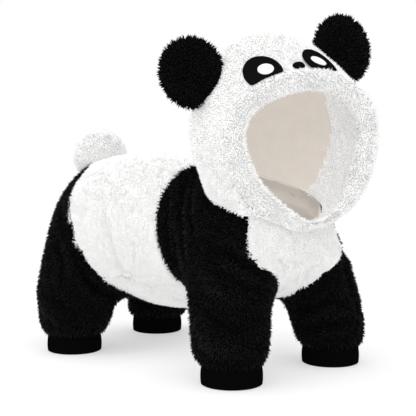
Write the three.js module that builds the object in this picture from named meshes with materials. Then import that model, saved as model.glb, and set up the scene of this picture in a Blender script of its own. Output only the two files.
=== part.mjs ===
// Hooded jumpsuit for a small dog, filled out as worn, with nobody in it: black plush sleeves and legs, a
// white plush body, a white hood with round ears and a plain bear-cub face, ribbed cuffs and a round tail.
// Sizes are millimetres. +X points the way the dog faces, +Y to its left, +Z up; the cuffs stand on z = 0.
import * as THREE from "three";
import { mergeVertices } from "three/addons/utils/BufferGeometryUtils.js";

// Cloth: each wall runs from its backing to the tips of its pile.
const PLUSH = 5;
const LINING = 1.2;
const FELT = 1.2;
const SEAM_GAP = 0.35;

// The body swells as an oval section along X: mid is the height of its centre, wide and high are half sizes.
const TORSO_ROWS = [
  { at: -150, mid: 158, wide: 74, high: 72 },
  { at: -105, mid: 151, wide: 84, high: 85 },
  { at: -40, mid: 146, wide: 88, high: 90 },
  { at: 20, mid: 144, wide: 86, high: 85 },
  { at: 70, mid: 141, wide: 86, high: 74 },
  { at: 110, mid: 138, wide: 84, high: 58 },
];
const RUMP_LENGTH = 50;
const CHEST_LENGTH = 54;

// Each leg is an oval section along Z, listed for the left side: x and y are its centre, along and across its
// half sizes.
const SLEEVE_ROWS = [
  { at: 19, x: 136, y: 78, along: 31, across: 31 },
  { at: 27, x: 135, y: 78, along: 38, across: 38 },
  { at: 42, x: 133, y: 78, along: 42, across: 41 },
  { at: 72, x: 129, y: 76, along: 43, across: 42 },
  { at: 110, x: 120, y: 68, along: 48, across: 42 },
  { at: 150, x: 98, y: 50, along: 54, across: 44 },
];
const HIND_ROWS = [
  { at: 19, x: -136, y: 80, along: 31, across: 31 },
  { at: 27, x: -136, y: 80, along: 40, across: 38 },
  { at: 42, x: -131, y: 81, along: 46, across: 43 },
  { at: 68, x: -127, y: 81, along: 51, across: 45 },
  { at: 105, x: -125, y: 72, along: 54, across: 45 },
  { at: 145, x: -118, y: 56, along: 55, across: 42 },
];
const LEG_TOP_LENGTH = 45;
const BLEND = 34;

// The suit stands as if mid-step: the left feet lie further apart than the right ones, which fades upwards.
const STEP = { front: 5, hind: -12, from: 20, to: 115 };

// Ribbed cuffs.
const CUFF_HEIGHT = 19.7;
const CUFF_RIBS = 60;
const CUFF_WALL = 2.6;
const RIB_RISE = 0.9;
const CUFF_ROWS = [
  { at: 0, radius: 30.8 },
  { at: CUFF_HEIGHT, radius: 29.4 },
];

// The hood is a ball, flattened over the forehead, and turned and tipped as the head looks round.
const HOOD_CENTRE = { x: 134, y: 0, z: 270 };
const HOOD_RADIUS = 104;
const HOOD_BACK = 93;
const HOOD_HIGH = 106;
const HOOD_LOW = 119;
const HOOD_YAW = -14;
const HOOD_ROLL = 9.5;
const FOREHEAD_REACH = 65;
const FOREHEAD_ROUND = 150;
const FOREHEAD_SLOPE = 45;
const BROW_BLEND = 12;

const V = (x, y, z) => new THREE.Vector3(x, y, z);
const { lerp, degToRad: rad, clamp, smoothstep } = THREE.MathUtils;
const along = (count) => Array.from({ length: count + 1 }, (_, i) => i / count);

// A row of a table at any place between its rows, by a smooth curve through them.
function rowAt(rows, at) {
  const last = rows.length - 1;
  if (at <= rows[0].at) return rows[0];
  if (at >= rows[last].at) return rows[last];
  let i = 0;
  while (at > rows[i + 1].at) i++;
  const [a, b, c, d] = [rows[Math.max(i - 1, 0)], rows[i], rows[i + 1], rows[Math.min(i + 2, last)]];
  const span = c.at - b.at;
  const t = (at - b.at) / span;
  const made = { at };
  for (const key of Object.keys(b)) {
    if (key === "at") continue;
    const slopeB = ((c[key] - a[key]) / (c.at - a.at)) * span;
    const slopeC = ((d[key] - b[key]) / (d.at - b.at)) * span;
    const ease = t * t * (3 - 2 * t);
    made[key] = lerp(b[key], c[key], ease) + slopeB * t * (1 - t) * (1 - t) - slopeC * t * t * (1 - t);
  }
  return made;
}

// How far a point is outside an oval body of half sizes a, b and c, from its place about the centre.
function outsideOval(dx, dy, dz, a, b, c) {
  const reach = Math.hypot(dx / a, dy / b, dz / c);
  return reach < 1e-6 ? -Math.min(a, b, c) : Math.hypot(dx, dy, dz) * (1 - 1 / reach);
}

function joined(a, b, blend) {
  const near = Math.max(blend - Math.abs(a - b), 0) / blend;
  return Math.min(a, b) - (near * near * blend) / 4;
}

function torsoField(p) {
  const first = TORSO_ROWS[0].at;
  const last = TORSO_ROWS[TORSO_ROWS.length - 1].at;
  const row = rowAt(TORSO_ROWS, p.x);
  const past = p.x < first ? p.x - first : Math.max(p.x - last, 0);
  return outsideOval(past, p.y, p.z - row.mid, p.x < first ? RUMP_LENGTH : CHEST_LENGTH, row.wide, row.high);
}

const stepAt = (step, side, z) => side * step * (1 - smoothstep(z, STEP.from, STEP.to));

function legField(rows, step, p) {
  const row = rowAt(rows, p.z);
  const past = Math.max(p.z - rows[rows.length - 1].at, 0);
  const x = row.x + stepAt(step, Math.sign(p.y), p.z);
  return outsideOval(p.x - x, Math.abs(p.y) - row.y, past, row.along, row.across, LEG_TOP_LENGTH);
}

function bodyField(p) {
  const fore = joined(torsoField(p), legField(SLEEVE_ROWS, STEP.front, p), BLEND);
  return joined(fore, legField(HIND_ROWS, STEP.hind, p), BLEND);
}

const hoodTurn = new THREE.Matrix4().makeRotationFromEuler(
  new THREE.Euler(rad(HOOD_ROLL), 0, rad(HOOD_YAW), "ZYX"),
);
hoodTurn.setPosition(HOOD_CENTRE.x, HOOD_CENTRE.y, HOOD_CENTRE.z);
const hoodUnturn = hoodTurn.clone().invert();
const fromHood = (x, y, z) => V(x, y, z).applyMatrix4(hoodTurn);

function hoodField(p) {
  const q = p.clone().applyMatrix4(hoodUnturn);
  const [deep, high] = [q.x < 0 ? HOOD_BACK : HOOD_RADIUS, q.z < 0 ? HOOD_LOW : HOOD_HIGH];
  const ball = outsideOval(q.x, q.y, q.z, deep, HOOD_RADIUS, high);
  const out = q.x * Math.cos(rad(FOREHEAD_SLOPE)) + q.z * Math.sin(rad(FOREHEAD_SLOPE));
  const brow = Math.hypot(out + FOREHEAD_ROUND - FOREHEAD_REACH, q.y) - FOREHEAD_ROUND;
  return -joined(-ball, -brow, BROW_BLEND);
}

const PROBE = 0.5;
function slopeOf(field, p) {
  const step = (x, y, z) => field(V(p.x + x, p.y + y, p.z + z)) - field(V(p.x - x, p.y - y, p.z - z));
  return V(step(PROBE, 0, 0), step(0, PROBE, 0), step(0, 0, PROBE)).divideScalar(2 * PROBE);
}
const normalOf = (field, p) => slopeOf(field, p).normalize();

// Moves a point along the field's slope until it lies at the level asked for.
const SETTLE_PASSES = 14;
const SETTLE_STEP = 12;
function settle(field, p, level = 0) {
  const q = p.clone();
  for (let pass = 0; pass < SETTLE_PASSES; pass++) {
    const slope = slopeOf(field, q);
    const move = (level - field(q)) / Math.max(slope.lengthSq(), 0.1);
    q.addScaledVector(slope, clamp(move, -SETTLE_STEP, SETTLE_STEP));
  }
  return q;
}

// Points evenly spaced along a smooth line through the points given, laid on a surface.
function seam(field, points, count) {
  const line = new THREE.CatmullRomCurve3(points, false, "centripetal");
  const laid = line.getSpacedPoints(count).map((p) => settle(field, p));
  laid[0].copy(points[0]);
  laid[count].copy(points[points.length - 1]);
  return laid;
}

// A patch of points between four edges: left and right run up, bottom and top run across.
function patch(field, left, right, bottom, top) {
  const rows = left.length - 1;
  const columns = bottom.length - 1;
  return left.map((_, i) =>
    bottom.map((_, j) => {
      if (j === 0) return left[i].clone();
      if (j === columns) return right[i].clone();
      if (i === 0) return bottom[j].clone();
      if (i === rows) return top[j].clone();
      const u = i / rows;
      const v = j / columns;
      const across = left[i].clone().lerp(right[i], v);
      const up = bottom[j].clone().lerp(top[j], u);
      const low = left[0].clone().lerp(right[0], v);
      const corners = low.lerp(left[rows].clone().lerp(right[rows], v), u);
      return settle(field, across.add(up).sub(corners));
    }),
  );
}

// Draws each free edge of a grid back from its seam, along the surface, so that neighbours stand apart. An
// edge that runs into one point is drawn back further, by POLE_PULL.
const POLE_PULL = 2.5;
function drawBack(field, grid, round, amount = SEAM_GAP / 2) {
  const rows = grid.length - 1;
  const columns = grid[0].length - 1;
  const moves = grid.map((row) => row.map(() => V(0, 0, 0)));
  const pull = (i, j, di, dj) => {
    const here = grid[i][j];
    let inside = grid[i + di][j + dj];
    if (inside.distanceTo(here) < 1e-3) inside = grid[i + di][Math.round(columns / 2)];
    const wrap = (c) => (round ? (c + columns) % columns : clamp(c, 0, columns));
    const before = di ? grid[i][wrap(j - 1)] : grid[clamp(i - 1, 0, rows)][j];
    const after = di ? grid[i][wrap(j + 1)] : grid[clamp(i + 1, 0, rows)][j];
    const run = after.clone().sub(before);
    const away = inside.clone().sub(here).projectOnPlane(normalOf(field, here));
    if (run.length() > 1e-3) away.projectOnPlane(run.normalize());
    moves[i][j].addScaledVector(away.normalize(), run.length() > 0 ? amount : amount * POLE_PULL);
  };
  for (let j = 0; j <= columns; j++) {
    pull(0, j, 1, 0);
    pull(rows, j, -1, 0);
  }
  for (let i = 0; !round && i <= rows; i++) {
    pull(i, 0, 0, 1);
    pull(i, columns, 0, -1);
  }
  return grid.map((row, i) => row.map((p, j) => p.clone().add(moves[i][j])));
}

const EDGE_ORDER = V(1, 0.37, 0.71);

// A closed wall from its outer and inner points; round says that its last column lies on its first.
function wallGeometry(outer, inner, round) {
  const rows = outer.length;
  const columns = outer[0].length;
  const points = [...outer.flat(), ...inner.flat()];
  const faces = [];
  const quad = (a, b, c, d) => faces.push(a, b, c, a, c, d);
  const out = (i, j) => i * columns + j;
  const into = (i, j) => rows * columns + i * columns + j;
  // An edge face is cut along the same diagonal on both sides of a seam, so that twisted edges never cross.
  const rank = (k) => points[k].dot(EDGE_ORDER);
  const edge = (a, b) => {
    const [ia, ib] = [a + rows * columns, b + rows * columns];
    if (rank(a) < rank(b)) faces.push(a, b, ib, a, ib, ia);
    else faces.push(a, b, ia, b, ib, ia);
  };
  for (let i = 0; i < rows - 1; i++) {
    for (let j = 0; j < columns - 1; j++) {
      quad(out(i, j), out(i, j + 1), out(i + 1, j + 1), out(i + 1, j));
      quad(into(i, j), into(i + 1, j), into(i + 1, j + 1), into(i, j + 1));
    }
    if (!round) {
      edge(out(i, 0), out(i + 1, 0));
      edge(out(i + 1, columns - 1), out(i, columns - 1));
    }
  }
  for (let j = 0; j < columns - 1; j++) {
    edge(out(0, j + 1), out(0, j));
    edge(out(rows - 1, j), out(rows - 1, j + 1));
  }
  return closedGeometry(points, faces);
}

// Shared points are merged, faces with no area go, and the faces are turned to point out.
function closedGeometry(points, faces) {
  const loose = new THREE.BufferGeometry();
  loose.setAttribute("position", new THREE.Float32BufferAttribute(points.flatMap((p) => [p.x, p.y, p.z]), 3));
  loose.setIndex(faces);
  const merged = mergeVertices(loose, 1e-3);
  const index = merged.index.array;
  const at = merged.attributes.position;
  const corner = (k) => V(0, 0, 0).fromBufferAttribute(at, index[k]);
  const kept = [];
  let volume = 0;
  for (let k = 0; k < index.length; k += 3) {
    const [a, b, c] = [index[k], index[k + 1], index[k + 2]];
    if (a === b || b === c || c === a) continue;
    kept.push([a, b, c]);
    volume += corner(k).dot(corner(k + 1).cross(corner(k + 2)));
  }
  merged.setIndex(kept.flatMap(([a, b, c]) => (volume > 0 ? [a, b, c] : [a, c, b])));
  merged.computeVertexNormals();
  return merged;
}

const chain = (...lines) => lines.reduce((all, line) => [...all, ...(all.length ? line.slice(1) : line)], []);
const back = (line) => [...line].reverse();

// The cut lines. The collar is where the body meets the hood; the armhole runs from the back of the collar
// down behind the sleeve, under it, and up the chest; the hip seam runs from the tail to the middle of the
// belly.
const COLLAR = { x: 100, z: 190, radius: 60, tip: 26 };
const CHEST_ANGLE = 57;
const SHOULDER_ANGLE = 170;
const CHIN_ANGLE = -6;
const COLLAR_PASSES = 8;
const STEPS = {
  collarChest: 6, collarShoulder: 8, collarNape: 2, armRear: 10, underArm: 4, strip: 4, chestSide: 9, side: 8,
  hipFront: 6, rump: 12,
};

function collarArc(from, to, steps, side) {
  return along(steps).map((t) => {
    const angle = rad(lerp(from, to, t));
    const tip = rad(COLLAR.tip);
    const ahead = COLLAR.radius * Math.cos(angle);
    const wide = side * COLLAR.radius * Math.sin(angle);
    let p = V(COLLAR.x + ahead * Math.cos(tip), wide, COLLAR.z - ahead * Math.sin(tip));
    for (let pass = 0; pass < COLLAR_PASSES; pass++) p = settle(hoodField, settle(bodyField, p));
    return Math.abs(wide) < 1 ? p.setY(0) : p;
  });
}

const middle = (x, z) => settle(bodyField, V(x, 0, z)).setY(0);
const CHIN = collarArc(CHIN_ANGLE, 0, 1, 1)[0];
const NAPE = collarArc(180, 180, 1, 1)[0];
const TAIL_ROOT = middle(-168, 222);
const CHEST_LOW = middle(134, 80);
const STRIP_END = middle(66, 64);
const BELLY_FRONT = middle(16, 60);
const BELLY_END = middle(-50, 56);

const flat = (line) => line.map((p) => p.setY(0));
const RUMP = flat(seam(bodyField, [
  BELLY_END, V(-110, 0, 62), V(-145, 0, 72), V(-185, 0, 100), V(-198, 0, 155), V(-186, 0, 200), TAIL_ROOT,
], STEPS.rump));
// The middle line of the chest and belly, with a stretch to answer each edge line beside it.
const MID_FRONT = flat(chain(
  seam(bodyField, [CHIN, V(166, 0, 140), V(158, 0, 108), CHEST_LOW], STEPS.chestSide),
  seam(bodyField, [CHEST_LOW, STRIP_END], STEPS.strip),
  seam(bodyField, [STRIP_END, BELLY_FRONT], STEPS.underArm),
  seam(bodyField, [BELLY_FRONT, BELLY_END], STEPS.side),
));
MID_FRONT[0].copy(CHIN);

function cutLines(side) {
  const at = (x, y, z) => V(x, side * y, z);
  const on = (x, y, z) => settle(bodyField, at(x, y, z));
  const [underarm, hip] = [on(40, 76, 100), on(-67, 82, 90)];
  const [stripRear, stripFront] = [on(82, 26, 68), on(128, 15, 76)];
  const collarChest = collarArc(side * CHIN_ANGLE, CHEST_ANGLE, STEPS.collarChest, side);
  const collarShoulder = collarArc(CHEST_ANGLE, SHOULDER_ANGLE, STEPS.collarShoulder, side);
  const collarNape = collarArc(SHOULDER_ANGLE, 180, STEPS.collarNape, side);
  collarChest[0].copy(CHIN);
  collarNape[STEPS.collarNape].copy(NAPE);
  const armRear = seam(bodyField, [
    collarNape[0], at(21, 24, 226), at(18, 46, 216), at(17, 67, 197), at(21, 84, 163), at(28, 85, 132),
    underarm,
  ], STEPS.armRear);
  const underArm = seam(bodyField, [underarm, at(54, 68, 86), stripRear], STEPS.underArm);
  const strip = seam(bodyField, [stripRear, at(105, 15, 70), stripFront], STEPS.strip);
  const chestSide = seam(bodyField, [
    stripFront, at(143, 20, 91), at(157, 34, 105), at(160, 58, 118), at(154, 77, 131), at(150, 76, 150),
    at(143, 65, 170), collarShoulder[0],
  ], STEPS.chestSide);
  const sideSeam = seam(bodyField, [hip, at(-30, 84, 90), underarm], STEPS.side);
  const hipTop = seam(bodyField, [
    TAIL_ROOT, at(-144, 38, 217), at(-134, 68, 199), at(-121, 89, 180), at(-112, 98, 158), at(-98, 100, 132),
    hip,
  ], STEPS.armRear + STEPS.collarNape);
  const hipFront = seam(bodyField, [hip, at(-58, 56, 73), at(-50, 30, 60), BELLY_END], STEPS.hipFront);
  const collar = chain(collarChest, collarShoulder, collarNape);
  const collarParts = { collar, collarChest, collarShoulder, collarNape };
  return { ...collarParts, armRear, underArm, strip, chestSide, sideSeam, hipTop, hipFront };
}
const CUT = { left: cutLines(1), right: cutLines(-1) };

const jumpsuit = new THREE.Group();
jumpsuit.name = "dog_jumpsuit";

const CLOTHS = {
  white_plush: { color: 0xf4f3f1, roughness: 0.95 },
  black_plush: { color: 0x121213, roughness: 0.95 },
  rib_knit: { color: 0x0b0b0c, roughness: 0.9 },
  fleece_lining: { color: 0xd9cfc4, roughness: 0.95 },
  black_felt: { color: 0x0d0d0e, roughness: 0.9 },
  white_felt: { color: 0xf8f8f6, roughness: 0.9 },
};

function piece(name, cloth, geometry) {
  const { color, roughness } = CLOTHS[cloth];
  const made = new THREE.Mesh(geometry, new THREE.MeshStandardMaterial({ color, roughness, metalness: 0 }));
  made.name = name;
  jumpsuit.add(made);
  return made;
}

// A wall of cloth on a field: its outer points lie above the surface by the row's lift, its inner ones lower
// by thickness. A wall with a level hem goes straight in there, so that its end lies flat on the cuff below.
const PLAIN_WALL = { lift: () => 0, round: false, levelHem: false, relief: () => 0 };
function clothWall(field, grid, thickness, options = {}) {
  const { lift, round, levelHem, relief } = { ...PLAIN_WALL, ...options };
  const raised = (p, i, level) => {
    const out = normalOf(field, p);
    if (levelHem && i === 0) out.setZ(0).normalize();
    return p.clone().addScaledVector(out, lift(i) + level - relief(p));
  };
  const outer = grid.map((row, i) => row.map((p) => raised(p, i, 0)));
  const inner = grid.map((row, i) => row.map((p) => raised(p, i, -thickness)));
  if (round) for (const side of [outer, inner]) side.forEach((row) => (row[row.length - 1] = row[0].clone()));
  return wallGeometry(outer, inner, round);
}

// Largest folds of the body, each a soft trough along a line of three points on the left side, and mirrored.
const FOLDS = [
  { from: [60, 70, 200], over: [38, 88, 165], to: [62, 86, 118], width: 7, depth: 5 },
  { from: [80, 66, 195], over: [62, 92, 150], to: [84, 96, 100], width: 7, depth: 4.5 },
  { from: [100, 66, 188], over: [92, 98, 140], to: [108, 112, 88], width: 7, depth: 4 },
  { from: [124, 60, 176], over: [130, 90, 140], to: [140, 108, 96], width: 7, depth: 4 },
  { from: [90, 104, 96], over: [118, 118, 78], to: [152, 110, 62], width: 6, depth: 3.5 },
  { from: [96, 112, 60], over: [120, 120, 48], to: [156, 108, 40], width: 6, depth: 3 },
  { from: [-190, 84, 130], over: [-160, 110, 100], to: [-120, 118, 78], width: 8, depth: 4 },
  { from: [-184, 96, 90], over: [-150, 122, 66], to: [-112, 112, 50], width: 7, depth: 4 },
  { from: [-110, 84, 150], over: [-76, 92, 122], to: [-30, 84, 92], width: 9, depth: 5 },
  { from: [-60, 86, 118], over: [-10, 80, 84], to: [40, 74, 74], width: 8, depth: 5 },
  { from: [-30, 80, 190], over: [-46, 92, 160], to: [-40, 92, 130], width: 11, depth: 4 },
  { from: [-84, 76, 196], over: [-92, 88, 160], to: [-86, 90, 130], width: 11, depth: 3.5 },
  { from: [162, 0, 140], over: [156, 12, 112], to: [140, 14, 86], width: 7, depth: 3.5 },
  { from: [154, 66, 150], over: [158, 40, 124], to: [150, 22, 98], width: 8, depth: 3.5 },
];
const FOLD_PARTS = 12;
const FOLD_FADE = 0.05;
const FOLD_LINES = FOLDS.map((fold) => {
  const line = new THREE.CatmullRomCurve3([V(...fold.from), V(...fold.over), V(...fold.to)]);
  return { ...fold, points: line.getPoints(FOLD_PARTS).map((p) => settle(bodyField, p)) };
});

function foldDepth(p) {
  const q = V(p.x, Math.abs(p.y), p.z);
  let depth = 0;
  for (const fold of FOLD_LINES) {
    let near = Infinity;
    let place = 0;
    fold.points.forEach((r, i) => {
      const d = r.distanceTo(q);
      if (d < near) [near, place] = [d, i / FOLD_PARTS];
    });
    const fade = Math.sin(Math.PI * lerp(FOLD_FADE, 1 - FOLD_FADE, place));
    depth += fold.depth * fade * Math.exp(-((near / fold.width) ** 2));
  }
  return depth;
}

function panel(grid) {
  return clothWall(bodyField, drawBack(bodyField, grid, false), PLUSH, { relief: foldDepth });
}

function addBodyPanels() {
  const { left, right } = CUT;
  const rear = [...back(right.hipTop), ...left.hipTop.slice(1)];
  const frontHalf = (cut) => chain(back(cut.armRear), cut.collarNape);
  const front = [...frontHalf(right), ...back(frontHalf(left)).slice(1)];
  const saddle = patch(bodyField, right.sideSeam, left.sideSeam, rear, front);
  piece("back_panel", "white_plush", panel(saddle));

  const frontOf = (cut) => {
    const edge = chain(back(cut.chestSide), back(cut.strip), back(cut.underArm), back(cut.sideSeam));
    return patch(bodyField, MID_FRONT, edge, cut.collarChest, back(cut.hipFront));
  };
  const [rightHalf, leftHalf] = [frontOf(right), frontOf(left)];
  const whole = leftHalf.map((row, i) => [...back(rightHalf[i].slice(1)), ...row]);
  piece("belly_panel", "white_plush", panel(whole));
}

// Fleece lines the first stretch below the collar, where the face opening shows it. reach is how far a ring
// lies from the collar, drop how far under the backing of the plush.
const NECK_LINING = [
  { reach: 1.5, drop: 1.1 },
  { reach: 11, drop: 4.5 },
  { reach: 22, drop: 5.5 },
];
function addNeckLining() {
  const loop = [...CUT.left.collar, ...back(CUT.right.collar).slice(1)];
  const heart = loop.reduce((sum, p) => sum.add(p), V(0, 0, 0)).divideScalar(loop.length);
  const grid = NECK_LINING.map(({ reach }) =>
    loop.map((p) => settle(bodyField, p.clone().addScaledVector(p.clone().sub(heart).normalize(), reach))),
  );
  piece("neck_lining", "fleece_lining", clothWall(bodyField, grid, LINING, {
    lift: (i) => -PLUSH - NECK_LINING[i].drop,
    round: true,
    relief: foldDepth,
  }));
}

// A leg piece is a tube from its cuff up to the line where it is set in: level rings first, then rings that
// reach for that line. turn is the angle about the leg where the line starts.
const HEM_LEVELS = [0, 2.4, 7, 17, 32];
const HEM_AT = 20;
const REACH_STEPS = 6;
const REACH_EASE = 1.8;
const SLEEVE_TURN = 112;
const HIND_TURN = 138;
function legGrid(rows, step, line, turn, side) {
  const columns = line.length - 1;
  const ringPoint = (z, j) => {
    const row = rowAt(rows, z);
    const angle = rad(turn) + (j / columns) * 2 * Math.PI;
    const x = row.x + stepAt(step, side, z) + row.along * Math.cos(angle);
    return V(x, side * (row.y + row.across * Math.sin(angle)), z);
  };
  const grid = HEM_LEVELS.map((up) => line.map((_, j) => ringPoint(HEM_AT + up, j)));
  const start = HEM_AT + HEM_LEVELS[HEM_LEVELS.length - 1];
  for (let k = 1; k <= REACH_STEPS; k++) {
    const t = k / REACH_STEPS;
    grid.push(line.map((target, j) => {
      if (k === REACH_STEPS) return target.clone();
      const ring = ringPoint(lerp(start, target.z, t), j);
      return settle(bodyField, ring.lerp(target, t ** REACH_EASE));
    }));
  }
  return grid;
}

function legWall(grid) {
  const drawn = drawBack(bodyField, grid, true);
  drawn[0] = grid[0];
  return clothWall(bodyField, drawn, PLUSH, { round: true, levelHem: true, relief: foldDepth });
}

function addLegs(side, name) {
  const cut = CUT[name];
  const half = STEPS.collarShoulder / 2;
  const [rearHalf, frontHalf] = [cut.collarShoulder.slice(half), cut.collarShoulder.slice(0, half + 1)];
  const armhole = chain(rearHalf, cut.armRear, cut.underArm, cut.strip, cut.chestSide, frontHalf);
  const hipLine = chain(back(RUMP), back(cut.hipFront), back(cut.hipTop));
  const sleeve = legGrid(SLEEVE_ROWS, STEP.front, armhole, SLEEVE_TURN, side);
  piece(`sleeve_${name}`, "black_plush", legWall(sleeve));
  const hindLeg = legGrid(HIND_ROWS, STEP.hind, hipLine, HIND_TURN, side);
  piece(`hind_leg_${name}`, "black_plush", legWall(hindLeg));
}

// A cuff is ribbed outside and plain inside, where one side answers four of the outer ones.
function cuffGeometry(x, y) {
  const turns = 2 * CUFF_RIBS;
  const points = [];
  const faces = [];
  const levels = CUFF_ROWS.length;
  const circle = (radius, z, t) => {
    const angle = 2 * Math.PI * t;
    return V(x + radius * Math.cos(angle), y + radius * Math.sin(angle), z);
  };
  for (const row of CUFF_ROWS) {
    for (let j = 0; j < turns; j++) {
      points.push(circle(row.radius - (j % 2 ? RIB_RISE : 0), row.at, j / turns));
    }
  }
  const plain = turns / 4;
  const inside = CUFF_ROWS[levels - 1].radius - CUFF_WALL;
  for (const z of [0, CUFF_HEIGHT]) {
    for (let j = 0; j < plain; j++) points.push(circle(inside, z, j / plain));
  }
  const out = (i, j) => i * turns + (j % turns);
  const into = (i, j) => levels * turns + i * plain + (j % plain);
  for (let i = 0; i < levels - 1; i++) {
    for (let j = 0; j < turns; j++) {
      faces.push(out(i, j), out(i, j + 1), out(i + 1, j + 1), out(i, j), out(i + 1, j + 1), out(i + 1, j));
    }
  }
  for (let j = 0; j < plain; j++) {
    faces.push(into(0, j), into(1, j + 1), into(0, j + 1), into(0, j), into(1, j), into(1, j + 1));
    for (let k = 0; k < 4; k++) {
      const low = k < 2 ? into(0, j) : into(0, j + 1);
      const high = k < 2 ? into(1, j) : into(1, j + 1);
      faces.push(low, out(0, 4 * j + k + 1), out(0, 4 * j + k));
      faces.push(high, out(levels - 1, 4 * j + k), out(levels - 1, 4 * j + k + 1));
    }
    faces.push(into(0, j), into(0, j + 1), out(0, 4 * j + 2));
    faces.push(into(1, j + 1), into(1, j), out(levels - 1, 4 * j + 2));
  }
  return closedGeometry(points, faces);
}

function addCuffs(side, name) {
  for (const [end, rows, step] of [["front", SLEEVE_ROWS, STEP.front], ["hind", HIND_ROWS, STEP.hind]]) {
    const { x, y } = rows[0];
    piece(`cuff_${end}_${name}`, "rib_knit", cuffGeometry(x + side * step, side * y));
  }
}

// The hood: its face edge runs from the chin round each cheek to the brow, in the hood's own turned frame.
const FACE_EDGE = [
  { x: 29, y: 31, z: -92 },
  { x: 29, y: 62, z: -74 },
  { x: 30, y: 88, z: -42 },
  { x: 31, y: 98, z: -3 },
  { x: 33, y: 86, z: 30 },
  { x: 36, y: 54, z: 50 },
  { x: 37, y: 3, z: 55 },
];
const CROWN_LINE = [
  { x: 37, y: 3, z: 55 },
  { x: 8, y: 8, z: 84 },
  { x: -22, y: 13, z: 102 },
  { x: -66, y: 8, z: 80 },
  { x: -92, y: 2, z: 30 },
];
const FACE_STEPS = 14;
const CROWN_STEPS = CUT.left.collar.length - 1;

function hoodGrid(side, name) {
  const crownPoints = CROWN_LINE.map((p) => settle(hoodField, fromHood(p.x, p.y, p.z)));
  const cheek = FACE_EDGE.map((p) => settle(hoodField, fromHood(p.x, side * p.y, p.z)));
  const edgePoints = [...cheek.slice(0, -1), crownPoints[0]];
  const faceEdge = seam(hoodField, [CHIN, ...edgePoints], FACE_STEPS);
  const crown = seam(hoodField, [...crownPoints, NAPE], CROWN_STEPS);
  const end = faceEdge.map(() => NAPE.clone());
  return { grid: patch(hoodField, CUT[name].collar, crown, faceEdge, end), faceEdge };
}

const LINING_DROP = PLUSH + 0.9;
const LINING_EDGE = 0.8;
const everyOther = (line) => line.filter((_, i) => i % 2 === 0 || i === line.length - 1);

function addHood(side, name) {
  const { grid } = hoodGrid(side, name);
  piece(`hood_${name}`, "white_plush", clothWall(hoodField, drawBack(hoodField, grid, false), PLUSH));
  const lining = drawBack(hoodField, everyOther(grid), false, LINING_EDGE);
  const lined = clothWall(hoodField, lining, LINING, { lift: () => -LINING_DROP });
  piece(`hood_lining_${name}`, "fleece_lining", lined);
}

// The rolled band round the face: one section, given along the cloth (out past the edge) and away from it.
const BAND_SECTION = [
  { past: 1.6, up: -16 },
  { past: 1.6, up: 0.5 },
  { past: 4, up: 3.2 },
  { past: 9, up: 2.4 },
  { past: 14, up: -3 },
  { past: 16, up: -10 },
  { past: 13, up: -17 },
  { past: 7, up: -20 },
  { past: 2.5, up: -19 },
];
const CHIN_TAPER_STEPS = 4;
const CHIN_HEIGHT = 0.18;
function addFaceBand() {
  const right = hoodGrid(-1, "right").faceEdge;
  const left = hoodGrid(1, "left").faceEdge;
  const loop = [...right, ...back(left).slice(1, -1)];
  const count = loop.length;
  const rings = loop.map((p, i) => {
    const run = loop[(i + 1) % count].clone().sub(loop[(i + count - 1) % count]).normalize();
    const up = normalOf(hoodField, p);
    const past = up.clone().cross(run).normalize();
    const ahead = V(Math.cos(rad(HOOD_YAW)), Math.sin(rad(HOOD_YAW)), 0);
    if (past.dot(ahead) < 0) past.negate();
    const fromChin = Math.min(i + 1, count - 1 - i) / CHIN_TAPER_STEPS;
    const height = lerp(CHIN_HEIGHT, 1, smoothstep(fromChin, 0, 1));
    return BAND_SECTION.map((s) => {
      return p.clone().addScaledVector(past, s.past).addScaledVector(up, s.up * height);
    });
  });
  const points = rings.flat();
  const faces = [];
  const wide = BAND_SECTION.length;
  for (let i = 0; i < count; i++) {
    for (let j = 0; j < wide; j++) {
      const [a, b] = [i * wide + j, i * wide + ((j + 1) % wide)];
      const [c, d] = [((i + 1) % count) * wide + ((j + 1) % wide), ((i + 1) % count) * wide + j];
      faces.push(a, b, c, a, c, d);
    }
  }
  piece("face_band", "white_plush", closedGeometry(points, faces));
}

// Round plush shapes that sit on another: points that would reach in are set just above it.
const SEAT_GAP = 0.7;
function seated(field, geometry, gap = SEAT_GAP) {
  const at = geometry.attributes.position;
  const points = [];
  for (let i = 0; i < at.count; i++) {
    const p = V(0, 0, 0).fromBufferAttribute(at, i);
    points.push(field(p) < gap ? settle(field, p, gap) : p);
  }
  return closedGeometry(points, geometry.index ? [...geometry.index.array] : points.map((_, i) => i));
}

const EAR = { radius: 37, thick: 18, x: -7, y: 100, z: 68, dish: 10, lean: 4, splay: 4 };
function addEar(side, name) {
  const ball = new THREE.SphereGeometry(1, 20, 10);
  const at = ball.attributes.position;
  for (let i = 0; i < at.count; i++) {
    const [x, y, z] = [at.getX(i), at.getY(i), at.getZ(i)];
    const rim = Math.hypot(x, z);
    const hollow = y > 0 ? EAR.dish * (1 - rim * rim) : 0;
    at.setXYZ(i, y * EAR.thick - hollow, x * EAR.radius, z * EAR.radius);
  }
  const tilt = new THREE.Euler(0, rad(-EAR.lean), rad(side * EAR.splay), "ZYX");
  const turn = new THREE.Matrix4().makeRotationFromEuler(tilt);
  turn.setPosition(EAR.x, side * EAR.y, EAR.z);
  ball.applyMatrix4(turn).applyMatrix4(hoodTurn);
  piece(`ear_${name}`, "black_plush", seated(hoodField, ball));
}

const TAIL = { x: -169, z: 233, radius: 31, gap: 1.2 };
function addTail() {
  const ball = new THREE.IcosahedronGeometry(TAIL.radius, 3).translate(TAIL.x, 0, TAIL.z);
  piece("tail", "white_plush", seated(bodyField, ball, TAIL.gap));
}

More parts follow.
